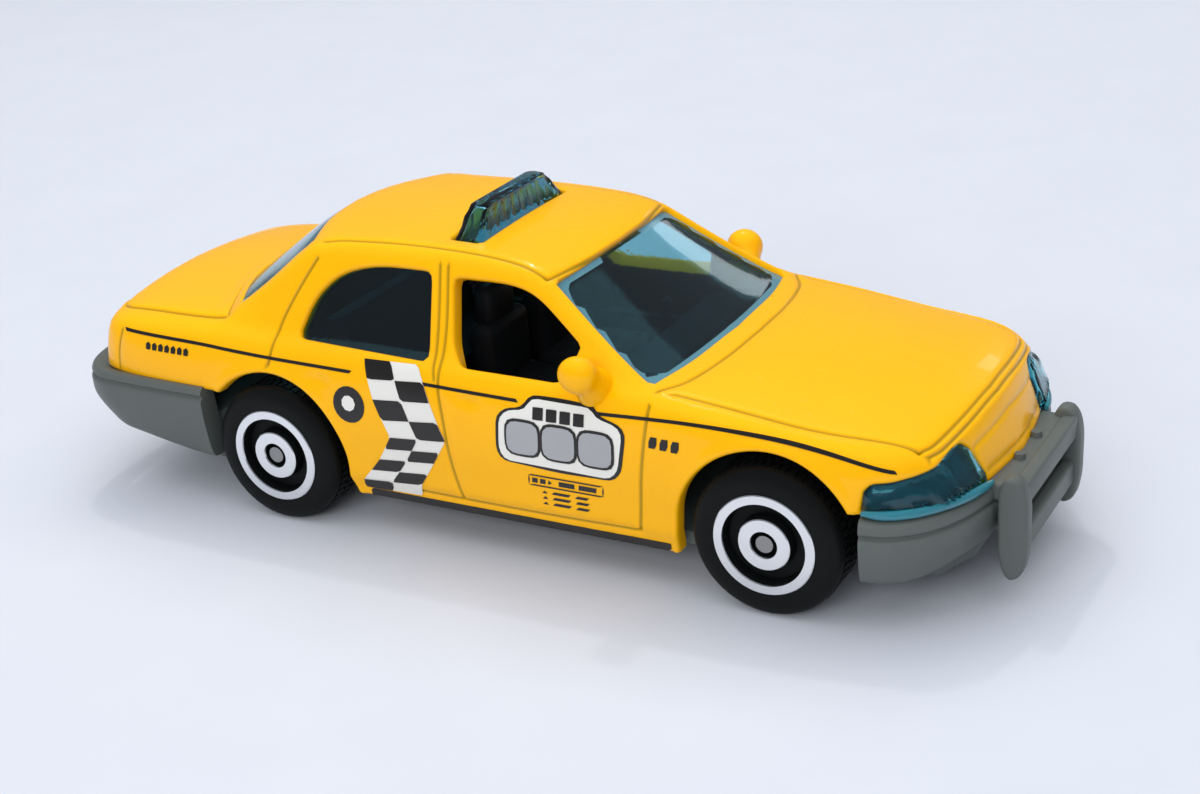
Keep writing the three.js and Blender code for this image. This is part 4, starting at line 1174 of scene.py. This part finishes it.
add_piece("base_plate_skin", bm, [GREY], stands_for=["base_plate"],
          smooth=30)

# %% [markdown]
# ## Push bar
# The push bar is a moulded frame: two upright blades with rounded heads, an upper and a
# lower rail, and a shelf that ties it to the bumper. It could be bent from tubes, but a
# moulding has flat flanks. So each blade is an outline, extruded and bevelled, and the
# rails are bevelled boxes that run into the blades.

# %% Push bar
BLADE = [(37.2, 2.6), (37.7, 1.85), (38.6, 2.4), (38.95, 4.2), (39.0, 7.6), (38.75, 8.9),
         (38.2, 9.6), (37.3, 9.55), (36.9, 8.6), (36.9, 4.0)]  # in X and Z
BLADE_INNER_Y, BLADE_OUTER_Y = 5.55, 6.9
RAILS = [  # near corner, far corner, rounding
    ((37.6, -5.9, 7.35), (38.75, 5.9, 9.0), 0.25),  # upper rail
    ((37.6, -5.9, 3.7), (38.6, 5.9, 5.5), 0.3),  # lower rail
    ((35.9, -6.3, 7.6), (37.8, 6.3, 8.85), 0.25),  # shelf on the bumper
    ((36.6, -5.9, 4.6), (37.9, 5.9, 5.3), 0.2),  # tie to the bumper
]
PEG_Y, PEG_X, PEG_Z = 1.9, 36.9, 9.0

bm = bmesh.new()
for low, high in ((-BLADE_OUTER_Y, -BLADE_INNER_Y), (BLADE_INNER_Y, BLADE_OUTER_Y)):
    face = bm.faces.new([bm.verts.new((x, low, z)) for x, z in rounded(BLADE, 0.7, 0.3)])
    made = bmesh.ops.extrude_face_region(bm, geom=[face])["geom"]
    moved = [v for v in made if isinstance(v, bmesh.types.BMVert)]
    bmesh.ops.translate(bm, vec=(0, high - low, 0), verts=moved)
bmesh.ops.recalc_face_normals(bm, faces=bm.faces)
rims = [e for e in bm.edges if len(e.link_faces) == 2 and e.calc_face_angle() > 1.2]
bmesh.ops.bevel(bm, geom=rims, offset=0.28, segments=3, profile=0.5, affect="EDGES", material=-1)
for rail in RAILS:
    add_box(bm, *rail)
for y in (-PEG_Y, PEG_Y):
    peg = bmesh.ops.create_cone(bm, cap_ends=True, segments=20, radius1=0.42, radius2=0.36,
                                depth=0.5)["verts"]
    bmesh.ops.translate(bm, vec=(PEG_X, y, PEG_Z), verts=peg)
bmesh.ops.remove_doubles(bm, verts=bm.verts, dist=1e-4)
bmesh.ops.recalc_face_normals(bm, faces=bm.faces)
add_piece("push_bar_skin", bm, [GREY], stands_for=["push_bar"])

# %% [markdown]
# ## Roof sign
# The sign is a hollow clear wedge, ribbed by the tool that cut its mould. A tapered box
# would do from afar. Here rings are bridged from the foot to the top, because a ring can
# carry the ribs as a wave in its outline, and `solidify` gives the glass a real thickness.

# %% Roof sign
SIGN_MIDDLE_X, SIGN_LOW_Z, SIGN_HIGH_Z = -3.65, 21.4, 24.15
SIGN_LEVELS = (0.0, 0.18, 0.3, 0.5, 0.7, 0.85, 0.95, 1.0)
RING_COUNT, RIB_PITCH, RIB_HEIGHT, SIGN_WALL = 56, 1.25, 0.10, 0.45


def sign_ring(share):
    """Corners in X and Y of the wedge at a share of its height; the top edge is eased."""
    ease = 0.22 if share == 1.0 else 0.0
    half_y = 6.45 - 2.2 * share**1.4 - ease
    half_x = 1.35 - 0.55 * math.sin(share * math.pi / 2) - ease
    low, high = SIGN_MIDDLE_X - half_x, SIGN_MIDDLE_X + half_x
    return [(low, -half_y), (low, half_y), (high, half_y), (high, -half_y)]


bm = bmesh.new()
loops = []
for share in SIGN_LEVELS:
    ring = walk(rounded(sign_ring(share), 0.45, 0.42), True, count=RING_COUNT)
    ribs = RIB_HEIGHT * math.sin(share * math.pi) * np.cos(ring[:, 1] * 2 * math.pi / RIB_PITCH)
    ring[:, 0] += np.sign(ring[:, 0] - SIGN_MIDDLE_X) * ribs
    z = SIGN_LOW_Z + (SIGN_HIGH_Z - SIGN_LOW_Z) * share
    corners = [bm.verts.new((x, y, z)) for x, y in ring]
    loops.append([bm.edges.new((corners[k - 1], corners[k])) for k in range(RING_COUNT)])
for a, b in zip(loops, loops[1:]):
    bmesh.ops.bridge_loops(bm, edges=a + b)
bmesh.ops.contextual_create(bm, geom=loops[-1])
bmesh.ops.recalc_face_normals(bm, faces=bm.faces)
bmesh.ops.solidify(bm, geom=bm.faces[:], thickness=SIGN_WALL)
add_piece("roof_sign_glass", bm, [GLAZING], stands_for=["roof_sign"])

# %% [markdown]
# ## Wheels
# The real wheel is one moulding with two rings of hot foil pressed on its face. It could be
# cut out of a cylinder step by step. One profile spun about the axle gives all the steps of
# the face at once, and the foils are spun bands of their own, so that each can ride and be
# recoloured by itself. The tread is rows of small boxes set round the tyre.

# %% Wheels
WHEEL_SEGMENTS = 96
# Radius and Y of the tyre, from the hub's inner face over the tread to the hub's outer face.
TYRE_PROFILE = [(0.62, 10.1), (4.9, 10.1), (5.35, 10.35), (5.42, 10.8), (5.42, 13.05),
                (5.54, 13.2), (5.53, 13.5), (5.4, 13.78), (5.1, 14.02), (4.6, 14.14),
                (4.0, 14.18), (3.80, 14.14), (3.74, 14.05), (3.05, 14.05), (3.0, 13.95),
                (2.9, 13.3), (2.05, 13.25), (1.97, 13.95), (1.92, 14.02), (1.0, 14.02),
                (0.95, 13.9), (0.93, 13.3), (0.5, 13.3)]
FOILS = [("outer_ring", 3.04, 3.76, 14.24), ("inner_ring", 0.97, 1.93, 14.16)]
LUG_COUNT, LUG_RADIUS, LUG_LENGTH, LUG_HEIGHT = 56, 5.46, 0.44, 0.24
LUG_ROWS = [(12.7, 0.8), (11.7, 0.9), (10.75, 0.7)]  # Y and width of each row


def spin_profile(bm, profile, side, x):
    verts = [bm.verts.new((x + r, side * y, AXLE_Z)) for r, y in profile]
    edges = [bm.edges.new((a, b)) for a, b in zip(verts, verts[1:] + verts[:1])]
    bmesh.ops.spin(bm, geom=verts + edges, cent=(x, 0, AXLE_Z), axis=(0, 1, 0),
                   angle=2 * math.pi, steps=WHEEL_SEGMENTS, use_merge=True)
    bmesh.ops.remove_doubles(bm, verts=bm.verts, dist=1e-4)
    bmesh.ops.recalc_face_normals(bm, faces=bm.faces)


def add_lugs(bm, side, x):
    for row, (y, width) in enumerate(LUG_ROWS):
        for k in range(LUG_COUNT):
            made = bmesh.ops.create_cube(bm, size=1.0)["verts"]
            bmesh.ops.scale(bm, vec=(LUG_LENGTH, width, LUG_HEIGHT), verts=made)
            bmesh.ops.translate(bm, vec=(0, 0, LUG_RADIUS), verts=made)
            turn = Matrix.Rotation((k + 0.5 * (row % 2)) * 2 * math.pi / LUG_COUNT, 3, "Y")
            bmesh.ops.rotate(bm, matrix=turn, cent=(0, 0, 0), verts=made)
            bmesh.ops.translate(bm, vec=(x, side * y, AXLE_Z), verts=made)


def foil_profile(inner, outer, face):
    return [(inner, face - 0.1), (inner + 0.05, face), (outer - 0.07, face),
            (outer, face - 0.06), (outer, face - 0.12)]


def add_wheel(end, label, side, x):
    wheel = f"{end}_{label}"
    rides = wheel + "_wheel_body"
    bm = bmesh.new()
    spin_profile(bm, TYRE_PROFILE, side, x)
    add_lugs(bm, side, x)
    add_piece(wheel + "_tyre", bm, [RUBBER], rides, [wheel + "_wheel"], 35)
    for ring, inner, outer, face in FOILS:
        bm = bmesh.new()
        spin_profile(bm, foil_profile(inner, outer, face), side, x)
        add_piece(f"{wheel}_{ring}_foil", bm, [FOIL], rides,
                  [f"{wheel}_{ring}"], 35)


for end, x in (("front", FRONT_AXLE_X), ("rear", REAR_AXLE_X)):
    for side, label in SIDES:
        add_wheel(end, label, side, x)

# %% [markdown]
# ## Mirrors
# The door mirrors belong to the casting. Each is a smooth ball pulled into a teardrop, with
# its foot sunk in the door. A boolean would leave a hard seam between ball and foot. A
# voxel remesh melts them into one, and a smoothing pass rounds the join, as poured metal has it.

# %% Mirrors
MIRROR_PLACE, MIRROR_SIZE, MIRROR_FLARE = (9.4, 13.6, 16.05), (1.5, 1.3, 1.35), 0.18
STEM_PLACE, STEM_TURN = (9.8, 12.5, 14.8), math.radians(-50)
BLEND_VOXEL, SOFTEN_ROUNDS = 0.14 * MM, 22

for side, label in SIDES:
    bm = bmesh.new()
    ball = bmesh.ops.create_uvsphere(bm, u_segments=32, v_segments=20, radius=1.0)["verts"]
    for v in ball:
        x, y, z = v.co
        grow = 1 + MIRROR_FLARE * y
        v.co = (x * MIRROR_SIZE[0] * grow, y * MIRROR_SIZE[1], z * MIRROR_SIZE[2] * grow)
    bmesh.ops.translate(bm, vec=MIRROR_PLACE, verts=ball)
    stem = bmesh.ops.create_cone(bm, cap_ends=True, segments=24, radius1=1.9, radius2=1.0,
                                 depth=3.0)["verts"]
    bmesh.ops.rotate(bm, matrix=Matrix.Rotation(STEM_TURN, 3, "X"), cent=(0, 0, 0), verts=stem)
    bmesh.ops.translate(bm, vec=STEM_PLACE, verts=stem)
    to_side(bm, side)
    mirror = add_piece(label + "_door_mirror", bm, [ENAMEL])
    blend = mirror.modifiers.new("blend", "REMESH")
    blend.mode = "VOXEL"
    blend.voxel_size = BLEND_VOXEL
    blend.use_smooth_shade = True
    soften = mirror.modifiers.new("soften", "SMOOTH")
    soften.iterations = SOFTEN_ROUNDS

# %% [markdown]
# ## Printed markings
# Markings are printed with a pad, so each is a film that follows every curve of the door.
# Each one is cut from the same patch and lifted a hair above the enamel. The real toy's
# words and badges are replaced with plain bars and dots, so that the print has the same
# weight without saying anything.

# %% Printed markings
FILM = 0.045
PRINT_SPACING, PRINT_STEP = 0.4, 0.45


def print_on(name, outlines, ink, side, layer):
    """A printed film on one side of the car, from closed outlines in X and Z.

    The film follows what stands proud, and spans the grooves."""
    whole = bmesh.new()
    for outline in outlines:
        flat = SKIN.flat(from_side(walk(outline, True, PRINT_STEP)))
        uv, faces = cut_sheet(flat, (), [], PRINT_SPACING)
        depth, _ = relief(uv)
        sheet = wrap(uv, faces, np.maximum(depth, -FILM / 2) + layer * FILM)
        mesh = bpy.data.meshes.new("film")
        sheet.to_mesh(mesh)
        sheet.free()
        whole.from_mesh(mesh)
        bpy.data.meshes.remove(mesh)
    to_side(whole, side)
    add_piece(name, whole, [ink])


def ribbon(points, width):
    """A closed outline of a stripe of one width along points in X and Z."""
    line = flowing(points, 0.6)
    tangent = np.gradient(line, axis=0)
    tangent /= np.linalg.norm(tangent, axis=1)[:, None]
    normal = np.stack([-tangent[:, 1], tangent[:, 0]], -1) * width / 2
    return np.vstack([line + normal, (line - normal)[::-1]])


def bar(x0, x1, z0, z1):
    return [(x0, z0), (x1, z0), (x1, z1), (x0, z1)]


def disc(x, z, radius, count=40):
    turns = [2 * math.pi * k / count for k in range(count)]
    return [(x + radius * math.cos(t), z + radius * math.sin(t)) for t in turns]


def swell(outline, amount):
    """The outline with each point moved away from the middle."""
    middle = np.mean(outline, axis=0)
    arms = np.array(outline) - middle
    return middle + arms * (1 + amount / np.linalg.norm(arms, axis=1))[:, None]


# %% [markdown]
# The places are dimensions again, in X and Z on the car's side. A list says in which order
# the films lie on each other, because a pad prints the white first and the black over it.

# %% The places of the markings
STRIPE_WIDTH = 0.24
STRIPES = [[(-32.9, 13.7), (-25.0, 13.62), (-18.0, 13.45), (-10.35, 13.35)],
           [(-4.1, 13.3), (0.0, 13.22), (4.1, 13.16)],
           [(10.45, 13.15), (17.1, 13.4), (22.6, 13.2), (27.6, 12.6), (32.0, 11.65)]]
CHECK_LEFT = [(-9.3, 14.4), (-8.9, 13.05), (-8.4, 11.6), (-7.7, 10.1), (-7.1, 8.8),
              (-7.75, 7.75), (-8.4, 6.75), (-9.3, 5.7), (-10.2, 4.75), (-10.35, 4.0)]
CHECK_RIGHT = [(-4.6, 14.5), (-4.0, 13.4), (-3.4, 12.0), (-2.8, 10.6), (-2.2, 9.2),
               (-2.85, 8.2), (-3.5, 7.2), (-4.2, 6.15), (-4.9, 5.15), (-5.1, 4.1)]


def dark_checks():
    """The dark cells of the two columns of checks."""
    left, right = np.array(CHECK_LEFT), np.array(CHECK_RIGHT)
    middle = (left + right) / 2
    dark = []
    for row in range(len(left) - 1):
        a, b = (left, middle) if row % 2 == 0 else (middle, right)
        dark.append([tuple(a[row]), tuple(b[row]), tuple(b[row + 1]), tuple(a[row + 1])])
    return dark


PLAQUE = rounded([(2.55, 11.85), (3.25, 12.45), (4.65, 12.6), (5.15, 13.5), (10.05, 13.45),
                  (10.35, 12.85), (12.0, 12.5), (12.5, 12.0), (12.1, 9.25), (11.4, 8.5),
                  (2.9, 8.65), (2.45, 9.3)], 0.45)
FARE_BOX = [bar(4.6, 10.75, 6.85, 6.97), bar(4.6, 10.75, 7.67, 7.79),
            bar(4.6, 4.72, 6.9, 7.75), bar(10.63, 10.75, 6.9, 7.75)]
FARE_BLOCKS = [bar(x, x + w, 7.12, 7.52)
               for x, w in ((4.9, 0.5), (5.55, 0.5), (6.2, 0.35), (7.1, 1.3), (8.7, 1.5))]
FARE_DASHES = [bar(x, x + w, z, z + 0.22) for z in (6.35, 5.9, 5.45)
               for x, w in ((5.6, 0.5), (6.4, 1.6), (8.3, 1.2))]
NUMBER_BLOCKS = [bar(x, x + 0.62, 11.35 - 0.04 * i, 12.15 - 0.04 * i)
                 for i, x in enumerate((14.55, 15.4, 16.25))]
WING_BLOCKS = [bar(x, x + 0.5, 12.55, 13.15)
               for x in (-30.4, -29.75, -29.1, -28.45, -27.8, -27.15, -26.5)]
TOP_BLOCKS = [bar(x, x + 0.85, 12.05, 12.95) for x in (5.35, 6.45, 7.55, 8.65)]
BIG_BLOCKS = [rounded(bar(x, x + 2.6, 9.35, 11.75), 0.7) for x in (3.2, 6.15, 9.1)]

# Name, outlines, ink, and how many films up it lies.
PRINTS = [
    ("pinstripe", [ribbon(s, STRIPE_WIDTH) for s in STRIPES], BLACK_INK, 1),
    ("light_checks", [CHECK_LEFT + CHECK_RIGHT[::-1]], WHITE_INK, 1),
    ("dark_checks", dark_checks(), BLACK_INK, 2),
    ("small_blocks", NUMBER_BLOCKS + WING_BLOCKS, BLACK_INK, 1),
    ("sill_band", [bar(-9.9, 15.6, 3.3, 3.95)], BLACK_INK, 1),
    ("plaque_edge", [swell(PLAQUE, 0.28)], BLACK_INK, 1),
    ("plaque", [PLAQUE], WHITE_INK, 2),
    ("plaque_small_blocks", TOP_BLOCKS, BLACK_INK, 3),
    ("plaque_block_edges", [swell(b, 0.2) for b in BIG_BLOCKS], BLACK_INK, 3),
    ("plaque_blocks", BIG_BLOCKS, GREY_INK, 4),
    ("fare_lines", FARE_BOX + FARE_BLOCKS + FARE_DASHES, BLACK_INK, 1),
    ("roundel", [disc(-10.62, 10.88, 1.42)], BLACK_INK, 1),
    ("roundel_mark", [disc(-10.62, 11.0, 0.62, 24)], WHITE_INK, 2),
]
for side, label in SIDES[::-1]:
    for name, outlines, ink, layer in PRINTS:
        print_on(f"{label}_{name}", outlines, ink, side, layer)

# %% [markdown]
# ## Interior and what stays from the frame
# The front seats are seen through the open windows, so they get soft edges and headrests
# from bevelled boxes. The rest of the interior, the axles and the rivets keep their CAD
# meshes, with finishes of their own.

# %% Front seats
SEAT_BOXES = [  # cushion, back and headrest of the left seat, with their rounding
    ((-3.4, 0.9, 8.3), (4.0, 6.9, 10.6), 0.7),
    ((-4.2, 0.9, 9.2), (-2.0, 6.9, 15.4), 0.8),
    ((-4.3, 2.0, 14.6), (-2.4, 5.8, 18.2), 0.8),
]
for side, label in SIDES:
    bm = bmesh.new()
    for box in SEAT_BOXES:
        add_box(bm, *box)
    to_side(bm, side)
    add_piece(label + "_front_seat_shell", bm, [BLACK],
              stands_for=[label + "_front_seat"])

# %% Finishes on the CAD nodes that stay
KEPT_NODES = {
    "interior_tub": BLACK, "rear_bench": BLACK, "dashboard": BLACK, "steering_wheel": BLACK,
    "front_axle": STEEL, "rear_axle": STEEL, "front_rivet": STEEL, "rear_rivet": STEEL,
}
for name, material in KEPT_NODES.items():
    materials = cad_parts[name].data.materials
    materials.clear()
    materials.append(material)
print("CAD nodes with a new finish:", len(KEPT_NODES))

# %% [markdown]
# ## The floor
# A sheet of pale paper under the car, wide enough that the camera never sees its edge.

# %% Floor
FLOOR_HALF = 1500

bm = bmesh.new()
bmesh.ops.create_grid(bm, x_segments=1, y_segments=1, size=FLOOR_HALF)
bmesh.ops.scale(bm, vec=(MM, MM, MM), verts=bm.verts)
mesh = bpy.data.meshes.new("floor")
bm.to_mesh(mesh)
bm.free()
floor = bpy.data.objects.new("floor", mesh)
floor.data.materials.append(PAPER)
bpy.context.scene.collection.objects.link(floor)
print("floor:", 2 * FLOOR_HALF, "mm square")
